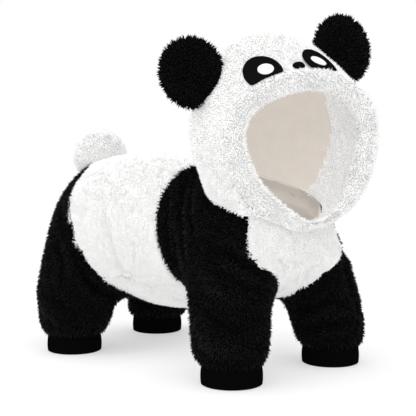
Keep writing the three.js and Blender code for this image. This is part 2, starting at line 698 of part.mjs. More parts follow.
// The face: felt shapes laid on the brow. Places are measured on the hood, across and down from its crown.
const EYE_PATCH = { y: 39, drop: -21, wide: 22, high: 20, tilt: 24 };
const EYE = { y: 35, drop: -22, wide: 10, high: 8, tilt: 20 };
const NOSE = { y: 5, drop: -18, wide: 8, high: 5.5, tilt: 0 };
const NOSE_RISE = 4;
const FELT_GAP = 0.3;

// The brow's own measure: how far down its slope a point of the face edge lies, at any place across.
const FELT_EDGE_GAP = 1.5;
const browEdge = FACE_EDGE.slice(-3).map(({ y, x, z }) => ({ at: -y, drop: (x - z) / Math.SQRT2 }));
const lowestDrop = (y) => rowAt(browEdge, -Math.abs(y)).drop - FELT_EDGE_GAP;

function brow(y, wanted) {
  const slope = rad(FOREHEAD_SLOPE);
  const drop = Math.min(wanted, lowestDrop(y));
  const across = V(Math.sin(slope), 0, -Math.cos(slope)).multiplyScalar(drop);
  const foot = V(Math.cos(slope), 0, Math.sin(slope)).multiplyScalar(FOREHEAD_REACH).add(across);
  return settle(hoodField, fromHood(foot.x, y, foot.z));
}

function feltGrid(shape, side, rings, turns) {
  const tilt = rad(shape.tilt * side);
  return along(rings).map((r) =>
    along(turns).map((t) => {
      const [c, s] = [Math.cos(2 * Math.PI * t) * r * shape.wide, Math.sin(2 * Math.PI * t) * r * shape.high];
      const [y, down] = [c * Math.cos(tilt) - s * Math.sin(tilt), c * Math.sin(tilt) + s * Math.cos(tilt)];
      return brow(side * shape.y + y, shape.drop + down);
    }),
  );
}

// A felt shape from its grid of rings: base is its height over the hood, and top gives that of each ring.
function feltGeometry(grid, base, top) {
  const rows = grid.length - 1;
  const turns = grid[0].length - 1;
  const points = [];
  const faces = [];
  for (const height of [top, () => base]) {
    for (let i = 0; i <= rows; i++) {
      for (let j = 0; j < turns; j++) {
        const p = grid[i][j];
        points.push(p.clone().addScaledVector(normalOf(hoodField, p), height(i / rows)));
      }
    }
  }
  const size = (rows + 1) * turns;
  const over = (i, j) => i * turns + (j % turns);
  const under = (i, j) => size + over(i, j);
  for (let j = 0; j < turns; j++) {
    for (let i = 0; i < rows; i++) {
      faces.push(over(i, j), over(i + 1, j), over(i + 1, j + 1));
      faces.push(over(i, j), over(i + 1, j + 1), over(i, j + 1));
      faces.push(under(i, j), under(i + 1, j + 1), under(i + 1, j));
      faces.push(under(i, j), under(i, j + 1), under(i + 1, j + 1));
    }
    faces.push(over(rows, j), under(rows, j), under(rows, j + 1));
    faces.push(over(rows, j), under(rows, j + 1), over(rows, j + 1));
  }
  return closedGeometry(points, faces);
}

function addFace(side, name) {
  const patchTop = FELT_GAP + FELT;
  const around = feltGeometry(feltGrid(EYE_PATCH, side, 2, 22), FELT_GAP, () => patchTop);
  piece(`eye_patch_${name}`, "black_felt", around);
  const eyeBase = patchTop + FELT_GAP;
  const eye = feltGeometry(feltGrid(EYE, side, 1, 16), eyeBase, () => eyeBase + FELT);
  piece(`eye_${name}`, "white_felt", eye);
}

addBodyPanels();
addNeckLining();
for (const [side, name] of [[-1, "right"], [1, "left"]]) {
  addLegs(side, name);
  addCuffs(side, name);
  addHood(side, name);
  addEar(side, name);
  addFace(side, name);
}
addFaceBand();
const noseTop = (r) => FELT_GAP + FELT + NOSE_RISE * (1 - r * r);
piece("nose", "black_felt", feltGeometry(feltGrid(NOSE, 1, 2, 14), FELT_GAP, noseTop));
addTail();

// The part's origin is the middle of its footprint.
const box = new THREE.Box3().setFromObject(jumpsuit);
jumpsuit.position.set(-(box.min.x + box.max.x) / 2, -(box.min.y + box.max.y) / 2, 0);

export default jumpsuit;
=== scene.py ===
"""Dog jumpsuit: plush, knit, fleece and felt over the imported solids, with the studio that it stands in.

The places in FOLDS are millimetres and all other lengths are metres, in the suit's own frame: +X towards the
face, +Y to the dog's left, +Z up, with the origin in the middle of the footprint.
"""
import math

import bmesh
import bpy
from bpy.props import FloatProperty, FloatVectorProperty, IntProperty, PointerProperty
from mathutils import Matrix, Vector
from mathutils.bvhtree import BVHTree
from mathutils.kdtree import KDTree


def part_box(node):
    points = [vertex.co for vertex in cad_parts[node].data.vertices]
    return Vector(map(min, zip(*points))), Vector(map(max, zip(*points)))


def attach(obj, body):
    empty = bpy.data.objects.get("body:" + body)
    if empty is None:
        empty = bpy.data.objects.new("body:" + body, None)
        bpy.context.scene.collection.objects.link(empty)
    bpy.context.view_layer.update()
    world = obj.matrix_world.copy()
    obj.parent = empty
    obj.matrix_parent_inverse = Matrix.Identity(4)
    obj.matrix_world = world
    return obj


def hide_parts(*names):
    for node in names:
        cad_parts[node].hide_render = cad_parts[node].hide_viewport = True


bl_info = {
    "name": "Dog jumpsuit",
    "version": (1, 0, 0),
    "blender": (4, 5, 0),
    "location": "3D View > Sidebar > Jumpsuit",
    "description": "Dresses the solids of a hooded plush jumpsuit for a small dog",
    "category": "Object",
}

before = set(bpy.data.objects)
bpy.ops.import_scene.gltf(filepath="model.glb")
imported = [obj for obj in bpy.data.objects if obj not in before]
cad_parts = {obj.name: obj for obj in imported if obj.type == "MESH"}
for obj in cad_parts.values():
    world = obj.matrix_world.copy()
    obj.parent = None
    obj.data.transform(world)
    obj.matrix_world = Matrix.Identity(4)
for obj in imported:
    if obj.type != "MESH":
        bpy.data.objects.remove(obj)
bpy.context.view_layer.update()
MM = 0.001
SIDES = ("right", "left")
LEG_ENDS = (("sleeve", "cuff_front"), ("hind_leg", "cuff_hind"))


def place(x, y, z):
    """A point given in millimetres, in metres."""
    return Vector((x, y, z)) * MM


def middle_of(node):
    low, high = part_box(node)
    return (low + high) / 2


# The lines that the cloth is wrapped round: one up each leg, one along the back, and the middle of the head.
FEET = {(end, side): middle_of(f"{cuff}_{side}") for end, cuff in LEG_ENDS for side in SIDES}
MIDDLE_Y = sum(foot.y for foot in FEET.values()) / len(FEET)
SPINE = (Vector((-0.155, MIDDLE_Y, 0.148)), Vector((0.115, MIDDLE_Y, 0.142)))
LEG_LEAN = {"sleeve": Vector((-0.034, 0.030, 0.130)), "hind_leg": Vector((0.016, 0.030, 0.125))}
HOOD_HEART = (middle_of("hood_left") + middle_of("hood_right")) / 2


# Sizes and colours that a user would change


class ClothSizes(bpy.types.PropertyGroup):
    pile_length: FloatProperty(
        name="Pile length", description="Length of a tuft of the plush", default=4.8 * MM, unit="LENGTH")
    pile_spacing: FloatProperty(
        name="Pile spacing", description="Least distance between two tufts", default=1.5 * MM, unit="LENGTH")
    pile_sink: FloatProperty(
        name="Backing depth", description="How far the backing lies under the tips of the pile",
        default=3.2 * MM, unit="LENGTH")
    tuft_width: FloatProperty(
        name="Tuft width", description="Width of a tuft at its root", default=2.8 * MM, unit="LENGTH")
    pile_lean: FloatProperty(
        name="Pile lean", description="How far the pile leans along its nap", default=0.4, min=0, max=2)
    pile_swirl: FloatProperty(
        name="Pile swirl", description="How far neighbouring tufts lean together", default=0.8, min=0, max=3)
    ribs: IntProperty(name="Ribs", description="Ribs round one cuff", default=84, min=12)
    rib_rise: FloatProperty(
        name="Rib rise", description="Height of a rib of the knit", default=0.8 * MM, unit="LENGTH")
    knit_wall: FloatProperty(
        name="Knit thickness", description="Thickness of the cuff", default=2.4 * MM, unit="LENGTH")
    cuff_flare: FloatProperty(
        name="Cuff swell", description="How much wider the cuff is low down, as a share", default=0.06)


class ClothColours(bpy.types.PropertyGroup):
    white_plush: FloatVectorProperty(
        name="White plush", description="Tips of the white pile", subtype="COLOR",
        default=(0.935, 0.933, 0.928))
    black_plush: FloatVectorProperty(
        name="Black plush", description="Tips of the black pile", subtype="COLOR",
        default=(0.0052, 0.0052, 0.0055))
    knit: FloatVectorProperty(
        name="Knit", description="Ribbed cuffs", subtype="COLOR", default=(0.0022, 0.0022, 0.0024))
    lining: FloatVectorProperty(
        name="Lining", description="Fleece inside the hood", subtype="COLOR", default=(0.79, 0.735, 0.68))
    black_felt: FloatVectorProperty(
        name="Black felt", description="Eye patches and nose", subtype="COLOR",
        default=(0.006, 0.006, 0.0065))
    white_felt: FloatVectorProperty(
        name="White felt", description="Eyes", subtype="COLOR", default=(0.92, 0.92, 0.91))


class StudioSizes(bpy.types.PropertyGroup):
    floor_radius: FloatProperty(
        name="Floor radius", description="Radius of the floor", default=12.0, unit="LENGTH")
    sky: FloatProperty(name="Soft light", description="Strength of the light from all round", default=1.0)
    key: FloatProperty(
        name="Key light", description="Power of the light above the camera", default=31.0, unit="POWER")
    lens: FloatProperty(name="Lens", description="Focal length of the camera", default=86.5, unit="CAMERA")
    camera_place: FloatVectorProperty(
        name="Camera place", description="Where the camera stands", subtype="TRANSLATION", unit="LENGTH",
        default=(0.82026, -0.82733, 0.245))
    camera_azimuth: FloatProperty(
        name="Camera turn", description="How far the camera looks round to the left of +Y", subtype="ANGLE",
        default=math.radians(43.67))
    camera_pitch: FloatProperty(
        name="Camera pitch", description="How far the camera looks down", subtype="ANGLE",
        default=math.radians(3.5))


def cloth():
    return bpy.context.scene.jumpsuit_cloth


def colours():
    return bpy.context.scene.jumpsuit_colours


def studio():
    return bpy.context.scene.jumpsuit_studio


# Node trees


class Wire:
    """One output of a node. Arithmetic on it adds Math nodes to its tree."""

    def __init__(self, graph, socket):
        self.graph = graph
        self.socket = socket

    def math(self, operation, first, second=0.0):
        return self.graph.add("ShaderNodeMath", {"operation": operation}, {0: first, 1: second})

    def __add__(self, other):
        return self.math("ADD", self, other)

    def __radd__(self, other):
        return self.math("ADD", other, self)

    def __sub__(self, other):
        return self.math("SUBTRACT", self, other)

    def __rsub__(self, other):
        return self.math("SUBTRACT", other, self)

    def __mul__(self, other):
        return self.math("MULTIPLY", self, other)

    def __rmul__(self, other):
        return self.math("MULTIPLY", other, self)

    def __truediv__(self, other):
        return self.math("DIVIDE", self, other)

    def __rtruediv__(self, other):
        return self.math("DIVIDE", other, self)

    def __pow__(self, other):
        return self.math("POWER", self, other)

    def __gt__(self, other):
        return self.math("GREATER_THAN", self, other)

    def __abs__(self):
        return self.math("ABSOLUTE", self)


class Graph:
    """A node tree under construction."""

    def __init__(self, tree):
        self.tree = tree

    def socket(self, sockets, key):
        if isinstance(key, int):
            return sockets[key]
        for socket in sockets:
            if socket.identifier == key:
                return socket
        return sockets[key]

    def add(self, kind, settings=None, values=None, out=0):
        """Adds a node: its settings first, then the values or links of its sockets. Returns one output."""
        node = self.tree.nodes.new(kind)
        for key, value in (settings or {}).items():
            setattr(node, key, value)
        for key, value in (values or {}).items():
            socket = self.socket(node.inputs, key)
            if isinstance(value, Wire):
                self.tree.links.new(value.socket, socket)
            else:
                socket.default_value = value
        return Wire(self, self.socket(node.outputs, out)) if len(node.outputs) else None

    def also(self, wire, out):
        """Another output of the node that a wire comes from."""
        return Wire(self, self.socket(wire.socket.node.outputs, out))

    def mix(self, factor, low, high):
        return self.add(
            "ShaderNodeMix", {"data_type": "RGBA"}, {"Factor_Float": factor, "A_Color": low, "B_Color": high},
            "Result_Color")

    def vector(self, operation, first, second=(0, 0, 0)):
        return self.add("ShaderNodeVectorMath", {"operation": operation}, {0: first, 1: second})

    def scaled(self, first, amount):
        return self.add("ShaderNodeVectorMath", {"operation": "SCALE"}, {0: first, "Scale": amount})

    def axes(self, vector):
        made = self.add("ShaderNodeSeparateXYZ", None, {0: vector})
        return made, self.also(made, 1), self.also(made, 2)

    def joined(self, x, y, z):
        return self.add("ShaderNodeCombineXYZ", None, {0: x, 1: y, 2: z})


def new_material(name):
    """An empty material with its shader, its graph and its Object coordinates."""
    made = bpy.data.materials.new(name)
    made.use_nodes = True
    made.node_tree.nodes.clear()
    graph = Graph(made.node_tree)
    shader = graph.add("ShaderNodeBsdfPrincipled", None, {"Metallic": 0.0})
    graph.add("ShaderNodeOutputMaterial", None, {"Surface": shader})
    spot = graph.add("ShaderNodeTexCoord", None, None, "Object")
    return made, graph, shader.socket.node, spot


def link(graph, wire, node, name):
    graph.tree.links.new(wire.socket, graph.socket(node.inputs, name))


def opaque(colour, share=1.0):
    return (*(channel * share for channel in colour), 1.0)


PATCH_SCALE = 34.0
FIBRE_SCALE = 1400.0
# The painted shade at the bottom of a deep crease, as a share of the plush's own colour.
PAINTED_CREASE_DARKEST = 0.1
WHITE_BACKING = (0.93, 0.925, 0.92)
BLACK_BACKING = (0.003, 0.003, 0.0033)
# Painted light: how strongly the pale backing and the fleece lining glow, brightening them under any lamp.
PAINTED_BACKING_GLOW = 0.26
PAINTED_FLEECE_GLOW = 0.16
STITCH_ROW = 0.8 * MM

# How each colour of plush takes the light. root is the painted shade towards the roots of the tufts and least
# the shade of the darkest tufts, both as shares of the tips. even is how far the tufts take the light as the
# cloth under them does. The two crease numbers are how much painted shade the creases get and how much painted
# highlight the cloth beside them gets, and the glow is painted light.
PLUSH_FINISH = {
    "white": {
        "root": 0.97, "least": 0.93, "even": 0.62, "hollow": 0.13, "ridge": 0.05,
        "sheen": 0.05, "gloss": 0.02, "glow": 0.29},
    "black": {
        "root": 0.12, "least": 0.3, "even": 0.1, "hollow": 0.8, "ridge": 0.9,
        "sheen": 0.03, "gloss": 0.06, "glow": 0.0},
}


def set_glow(shader, colour, strength):
    """A steady emission: painted light on pale cloth, which brightens it under any lamp, and an even
    brightness on the floor.
    """
    shader.inputs["Emission Color"].default_value = opaque(colour)
    shader.inputs["Emission Strength"].default_value = strength


def clamped(graph, wire):
    """A number held between 0 and 1."""
    return graph.add("ShaderNodeClamp", None, {0: wire})


def plush_material(name, colour, root, least, even, hollow, ridge, sheen, gloss, glow):
    """Plush: pale tips over painted shade at the roots, each tuft its own shade, and soft patches where the
    nap turns.
    """
    made, graph, shader, spot = new_material(name)
    tip = graph.add("ShaderNodeAttribute", {"attribute_name": "tip"}, None, "Fac")
    shade = graph.add("ShaderNodeAttribute", {"attribute_name": "shade"}, None, "Fac")
    patches = graph.add("ShaderNodeTexNoise", None, {"Vector": spot, "Scale": PATCH_SCALE, "Detail": 2.0})
    fibres = graph.add("ShaderNodeTexNoise", None, {"Vector": spot, "Scale": FIBRE_SCALE, "Detail": 2.0})
    bright = graph.mix(shade * 0.7 + patches * 0.3, opaque(colour, least), opaque(colour))
    crease = graph.add("ShaderNodeAttribute", {"attribute_name": "crease"}, None, "Fac")
    # Painted shade towards the roots of the tufts.
    pile = graph.mix(tip ** 0.7, opaque(colour, root), bright)
    # Painted shade in the creases and a painted highlight on the cloth beside them, by the crease depth.
    crease_shaded = graph.mix(clamped(graph, crease * hollow), pile, opaque(colour, PAINTED_CREASE_DARKEST))
    ridge_highlighted = graph.mix(clamped(graph, crease * -ridge), crease_shaded, opaque(colour, 1 + ridge))
    link(graph, ridge_highlighted, shader, "Base Color")
    link(graph, 0.82 + 0.14 * patches, shader, "Roughness")
    flow = graph.add("ShaderNodeAttribute", {"attribute_name": "flow"}, None, "Vector")
    own = graph.add("ShaderNodeNewGeometry", None, None, "Normal")
    blend = graph.vector("ADD", graph.scaled(flow, even), graph.scaled(own, 1 - even))
    lie = graph.vector("NORMALIZE", blend)
    bump = graph.add(
        "ShaderNodeBump", None, {"Strength": 0.3, "Distance": 0.4 * MM, "Height": fibres, "Normal": lie})
    link(graph, bump, shader, "Normal")
    shader.inputs["Sheen Weight"].default_value = sheen
    shader.inputs["Sheen Roughness"].default_value = 0.45
    shader.inputs["Specular IOR Level"].default_value = gloss
    # Painted light: a steady glow on the plush, none on the black.
    set_glow(shader, colour, glow)
    return made


def backing_material(name, colour, glow):
    """The knitted back of the plush, between the tufts and inside the suit."""
    made, graph, shader, spot = new_material(name)
    loops = graph.add("ShaderNodeTexVoronoi", None, {"Vector": spot, "Scale": 900.0})
    patches = graph.add("ShaderNodeTexNoise", None, {"Vector": spot, "Scale": PATCH_SCALE, "Detail": 3.0})
    shade = loops * 0.5 + patches * 0.5
    link(graph, graph.mix(shade, opaque(colour, 0.72), opaque(colour)), shader, "Base Color")
    link(graph, 0.9 + 0.08 * patches, shader, "Roughness")
    bump = graph.add("ShaderNodeBump", None, {"Strength": 0.5, "Distance": 0.4 * MM, "Height": loops})
    link(graph, bump, shader, "Normal")
    shader.inputs["Specular IOR Level"].default_value = 0.0
    # Painted light: a steady glow on the pale backing, none on the black.
    set_glow(shader, colour, glow)
    return made


def fleece_material(name, colour):
    """Short brushed fleece: mottled, with fine clumps of nap."""
    made, graph, shader, spot = new_material(name)
    mottle = graph.add(
        "ShaderNodeTexNoise", None, {"Vector": spot, "Scale": 60.0, "Detail": 4.0, "Roughness": 0.6})
    clumps = graph.add("ShaderNodeTexNoise", None, {"Vector": spot, "Scale": 420.0, "Detail": 3.0})
    shade = mottle * 0.7 + clumps * 0.3
    link(graph, graph.mix(shade, opaque(colour, 0.86), opaque(colour, 1.06)), shader, "Base Color")
    link(graph, 0.88 + 0.1 * mottle, shader, "Roughness")
    relief = mottle * 0.6 + clumps * 0.4
    bump = graph.add("ShaderNodeBump", None, {"Strength": 0.45, "Distance": 0.9 * MM, "Height": relief})
    link(graph, bump, shader, "Normal")
    shader.inputs["Sheen Weight"].default_value = 0.1
    shader.inputs["Specular IOR Level"].default_value = 0.1
    # Painted light: a steady glow on the lining.
    set_glow(shader, colour, PAINTED_FLEECE_GLOW)
    return made


def knit_material(name, colour):
    """Rib knit: small stitch rows across the ribs, with lint."""
    made, graph, shader, spot = new_material(name)
    _, _, up = graph.axes(spot)
    rows = graph.add("ShaderNodeMath", {"operation": "PINGPONG"}, {0: up, 1: STITCH_ROW}) / STITCH_ROW
    lint = graph.add("ShaderNodeTexNoise", None, {"Vector": spot, "Scale": 700.0, "Detail": 3.0})
    shade = rows * 0.45 + lint * 0.55
    link(graph, graph.mix(shade, opaque(colour, 0.7), opaque(colour, 1.7)), shader, "Base Color")
    link(graph, 0.78 + 0.16 * lint, shader, "Roughness")
    bump = graph.add("ShaderNodeBump", None, {"Strength": 0.6, "Distance": 0.3 * MM, "Height": rows + lint})
    link(graph, bump, shader, "Normal")
    shader.inputs["Specular IOR Level"].default_value = 0.0
    return made


def felt_material(name, colour):
    """Pressed felt: matt, with tangled fibres and a few paler ones."""
    made, graph, shader, spot = new_material(name)
    tangle = graph.add(
        "ShaderNodeTexNoise", None, {"Vector": spot, "Scale": 900.0, "Detail": 4.0, "Distortion": 1.5})
    cloud = graph.add("ShaderNodeTexNoise", None, {"Vector": spot, "Scale": 120.0, "Detail": 2.0})
    shade = tangle * 0.7 + cloud * 0.3
    link(graph, graph.mix(shade, opaque(colour, 0.75), opaque(colour, 1.08)), shader, "Base Color")
    link(graph, 0.86 + 0.1 * cloud, shader, "Roughness")
    bump = graph.add("ShaderNodeBump", None, {"Strength": 0.4, "Distance": 0.3 * MM, "Height": tangle})
    link(graph, bump, shader, "Normal")
    shader.inputs["Specular IOR Level"].default_value = 0.0
    return made


MATERIALS = {
    "white_plush": lambda name: plush_material(name, colours().white_plush, **PLUSH_FINISH["white"]),
    "black_plush": lambda name: plush_material(name, colours().black_plush, **PLUSH_FINISH["black"]),
    "white_backing": lambda name: backing_material(name, WHITE_BACKING, PAINTED_BACKING_GLOW),
    "black_backing": lambda name: backing_material(name, BLACK_BACKING, 0.0),
    "rib_knit": lambda name: knit_material(name, colours().knit),
    "fleece_lining": lambda name: fleece_material(name, colours().lining),
    "black_felt": lambda name: felt_material(name, colours().black_felt),
    "white_felt": lambda name: felt_material(name, colours().white_felt),
}


def material(name):
    """A finished material, made once. Its name differs from the plain one that comes with the solids."""
    label = f"{name}_finish"
    return bpy.data.materials.get(label) or MATERIALS[name](label)


# Cloth from the solids

# Long soft folds of the cloth. Each follows its points, in millimetres; width and depth are
# its size across and how far it sinks, and a negative depth is a ridge.
FOLDS = [
    {"along": [(27, -57, 198), (36, -72, 171), (43, -77, 143), (52, -78, 118)], "width": 4.0, "depth": 2.8},
    {"along": [(38, -45, 208), (53, -67, 181), (68, -83, 157), (85, -91, 122)], "width": 4.5, "depth": 3.4},
    {"along": [(44, -37, 212), (60, -58, 196), (70, -71, 183), (83, -81, 166), (99, -90, 149)],
     "width": 3.6, "depth": 2.4},
    {"along": [(122, -92, 138), (141, -84, 137), (154, -78, 128), (166, -63, 116)],
     "width": 5.5, "depth": 3.6},
    {"along": [(144, -92, 117), (162, -83, 105), (170, -61, 100)], "width": 4.0, "depth": 2.2},
    {"along": [(111, -102, 89), (143, -107, 71), (163, -93, 63)], "width": 5.0, "depth": 2.6},
    {"along": [(118, -104, 118), (140, -104, 100), (158, -94, 90)], "width": 7.0, "depth": -2.6},
    {"along": [(118, -104, 60), (142, -106, 46), (164, -92, 42)], "width": 8.0, "depth": -2.4},
    {"along": [(-128, -98, 134), (-105, -105, 110), (-101, -112, 84)], "width": 4.5, "depth": 3.0},
    {"along": [(-119, -114, 87), (-102, -114, 66), (-83, -101, 49)], "width": 4.0, "depth": 2.4},
    {"along": [(-95, -97, 123), (-73, -87, 84), (-69, -50, 67)], "width": 5.0, "depth": 3.0},
    {"along": [(-153, -69, 180), (-125, -89, 158), (-106, -95, 136)], "width": 5.0, "depth": 2.6},
    {"along": [(-145, -104, 74), (-128, -112, 58), (-104, -112, 44)], "width": 7.0, "depth": -2.4},
    {"along": [(-48, -79, 147), (-43, -72, 112), (-35, -59, 89), (4, -48, 79), (27, -36, 71)],
     "width": 5.5, "depth": 2.6},
    {"along": [(-67, -73, 185), (-56, -80, 155), (-46, -77, 125)], "width": 5.0, "depth": 2.2},
    {"along": [(-13, -79, 157), (-11, -78, 127), (-18, -68, 105)], "width": 4.5, "depth": 1.8},
    {"along": [(-46, -69, 107), (-16, -58, 89), (43, -57, 90)], "width": 4.5, "depth": 2.0},
    {"along": [(162, 11, 156), (164, 7, 135), (157, 4, 112), (147, 9, 95)], "width": 2.6, "depth": 1.8},
    {"along": [(163, -42, 135), (162, -24, 121), (158, -23, 106)], "width": 4.0, "depth": 2.0},
    {"along": [(162, 40, 120), (156, 27, 107), (146, 25, 94)], "width": 4.0, "depth": 2.6},
    {"along": [(128, -86, 227), (138, -77, 209), (155, -63, 191), (166, -34, 176)],
     "width": 3.6, "depth": 1.6},
    {"along": [(135, 4, 361), (143, -2, 351), (153, -7, 340)], "width": 2.4, "depth": 1.2},
    {"along": [(145, 44, 65), (163, 55, 77), (174, 74, 69)], "width": 4.5, "depth": 2.6},
    {"along": [(129, 46, 40), (160, 51, 49), (179, 81, 51)], "width": 5.0, "depth": 2.4},
    {"along": [(169, 75, 111), (173, 83, 86), (176, 90, 63)], "width": 4.5, "depth": 2.6},
]
# The folds that the far side has too: which one, how far it is shifted along X in millimetres, and its depth
# as a share of the near one's, so that the two sides differ.
MIRRORED = (
    (0, 6, 0.9), (1, -5, 0.8), (3, 4, 0.8), (5, 5, 1.0), (8, -6, 0.9), (9, 4, 1.1), (10, 6, 0.8),
    (11, -4, 1.0), (13, -8, 0.9), (14, 7, 1.1), (16, 5, 0.8),
)
# How far a mirrored fold drops for each millimetre of its shift.
MIRROR_DROP = 0.6
# The step along a fold, the furthest that a place moves to reach the cloth, and a margin for its thickness.
FOLD_STEP = 3.0 * MM
FOLD_SNAP = 9.0 * MM
FOLD_WALL = 6.0 * MM
# The section of a fold, in shares of its width and depth, and how it fades towards its ends.
FOLD_REACH = 3.2
FOLD_SHOULDER = 0.32
FOLD_DEPTH = 1.8
FOLD_START, FOLD_RUN, FOLD_FADE = 0.06, 0.88, 0.8
# The depth at which the painted shade of a crease is full.
CREASE_FULL = 4.0 * MM


def nearest_on(line, point):
    """The nearest place on a straight line between two points."""
    start, end = line
    run = end - start
    share = max(0.0, min(1.0, (point - start).dot(run) / max(run.length_squared, 1e-12)))
    return start + run * share


def hearts_of(node):
    """The lines inside a piece that its outer side faces away from."""
    for end, _ in LEG_ENDS:
        for side in SIDES:
            if node == f"{end}_{side}":
                foot = FEET[(end, side)]
                lean = LEG_LEAN[end].copy()
                lean.y *= -1 if side == "left" else 1
                return [(foot, foot + lean), SPINE]
    if node.startswith("hood"):
        return [(HOOD_HEART, HOOD_HEART + Vector((0, 0, 0.001)))]
    return [SPINE]


def facing_out(face, hearts):
    """Near 1 where a face looks away from the middle of the piece, and near -1 where it looks into it."""
    centre = face.calc_center_median()
    shares = [(centre - nearest_on(line, centre)).normalized().dot(face.normal) for line in hearts]
    return max(shares, key=abs)


# The angle past which faces belong to different sides of a wall, and the one past which a felt edge is crisp.
WALL_ANGLE = math.radians(42)
SHARP = math.radians(50)
MERGED = 0.002 * MM
PAIRED_ANGLE = math.radians(38)
CREASE_LAYER = "crease_edge"


def crease_layer(shape):
    """The layer of edges that subdivision keeps crisp."""
    return shape.edges.layers.float.get(CREASE_LAYER) or shape.edges.layers.float.new(CREASE_LAYER)


def mark_sharp(shape, crease):
    """Keeps the sharp edges of a shape crisp, up to the given share."""
    layer = crease_layer(shape)
    for edge in shape.edges:
        if edge.calc_face_angle(0.0) > SHARP:
            edge[layer] = crease


def mark_sides(shape, hearts):
    """Marks each face of a wall: 1 on its outer side, -1 on its inner side and 0 on the edge between them."""
    side = shape.faces.layers.float.new("outer")
    seen, patches = set(), []
    for first in shape.faces:
        if first in seen:
            continue
        seen.add(first)
        patch, queue = [], [first]
        while queue:
            face = queue.pop()
            patch.append(face)
            for edge in face.edges:
                if edge.calc_face_angle(math.pi) < WALL_ANGLE:
                    fresh = [other for other in edge.link_faces if other not in seen]
                    seen.update(fresh)
                    queue += fresh
        patches.append(patch)
    patches.sort(key=lambda patch: -sum(face.calc_area() for face in patch))
    for patch in patches[:2]:
        out = sum(facing_out(face, hearts) * face.calc_area() for face in patch)
        for face in patch:
            face[side] = 1.0 if out > 0 else -1.0
    crease = crease_layer(shape)
    for edge in shape.edges:
        if edge.calc_face_angle(0.0) > WALL_ANGLE or len({face[side] for face in edge.link_faces}) > 1:
            edge[crease] = 1.0


def quads_of(node):
    """A copy of a node's mesh with its loose triangles merged and paired into quads."""
    shape = bmesh.new()
    shape.from_mesh(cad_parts[node].data)
    bmesh.ops.remove_doubles(shape, verts=shape.verts, dist=MERGED)
    bmesh.ops.join_triangles(
        shape, faces=shape.faces, angle_face_threshold=PAIRED_ANGLE, angle_shape_threshold=math.pi)
    return shape


def plain_mesh(item):
    """The evaluated object as a plain mesh, with its modifiers taken off."""
    graph = bpy.context.evaluated_depsgraph_get()
    made = bpy.data.meshes.new_from_object(
        item.evaluated_get(graph), preserve_all_data_layers=True, depsgraph=graph)
    item.modifiers.clear()
    return made


def new_object(name, mesh):
    item = bpy.data.objects.new(name, mesh)
    bpy.context.scene.collection.objects.link(item)
    return item


def subdivided(name, shape, levels):
    """A mesh object from a bmesh, rounded by subdivision with its marked edges kept."""
    mesh = bpy.data.meshes.new(name)
    shape.to_mesh(mesh)
    shape.free()
    item = new_object(name, mesh)
    rounding = item.modifiers.new("rounding", "SUBSURF")
    rounding.levels = rounding.render_levels = levels
    smooth = plain_mesh(item)
    item.data = smooth
    bpy.data.meshes.remove(mesh)
    smooth.name = name
    smooth.polygons.foreach_set("use_smooth", [True] * len(smooth.polygons))
    return item


def outward_of(mesh):
    """For each vertex, which way is out of the suit, and 1 on the outer layer down to 0 on the inner one."""
    shape = bmesh.new()
    shape.from_mesh(mesh)
    sides = [round(datum.value) for datum in mesh.attributes["outer"].data]
    out, layer = [], []
    for vertex in shape.verts:
        total, outer, inner = Vector(), 0, 0
        for face in vertex.link_faces:
            side = sides[face.index]
            total += face.normal * side
            outer += side > 0
            inner += side < 0
        out.append(total.normalized() if total.length > 0 else None)
        layer.append(outer / (outer + inner) if outer + inner else None)
    around = [[edge.other_vert(vertex).index for edge in vertex.link_edges] for vertex in shape.verts]
    for _ in range(3):
        known = list(out), list(layer)
        for i, direction in enumerate(known[0]):
            if direction is None:
                near = [k for k in around[i] if known[0][k] is not None]
                if near:
                    out[i] = sum((known[0][k] for k in near), Vector()).normalized()
                    layer[i] = sum(known[1][k] for k in near) / len(near)
    shape.free()
    out = [direction or Vector((0, 0, 1)) for direction in out]
    layer = [0.5 if share is None else share for share in layer]
    return out, layer, around


def curve_through(points):
    """Places along a smooth curve through some points."""
    run = [points[0] * 2 - points[1], *points, points[-1] * 2 - points[-2]]
    places = []
    for a, b, c, d in zip(run, run[1:], run[2:], run[3:]):
        count = max(2, round((c - b).length / FOLD_STEP))
        for k in range(count):
            t = k / count
            bend = (a * 2 - b * 5 + c * 4 - d) * t * t
            places.append(b + ((c - a) * t + bend + (b * 3 - a - c * 3 + d) * t ** 3) / 2)
    return [*places, points[-1]]


def fold_lines():
    """All folds, those of the far side among them: places in metres, width and depth."""
    rows = [(fold["along"], fold["width"], fold["depth"]) for fold in FOLDS]
    for index, shift, share in MIRRORED:
        fold = FOLDS[index]
        twin = [(x + shift, 2 * MIDDLE_Y / MM - y, z - MIRROR_DROP * shift) for x, y, z in fold["along"]]
        rows.append((twin, fold["width"], fold["depth"] * share))
    return [
        (curve_through([place(*spot) for spot in along]), width * MM, depth * MM)
        for along, width, depth in rows]


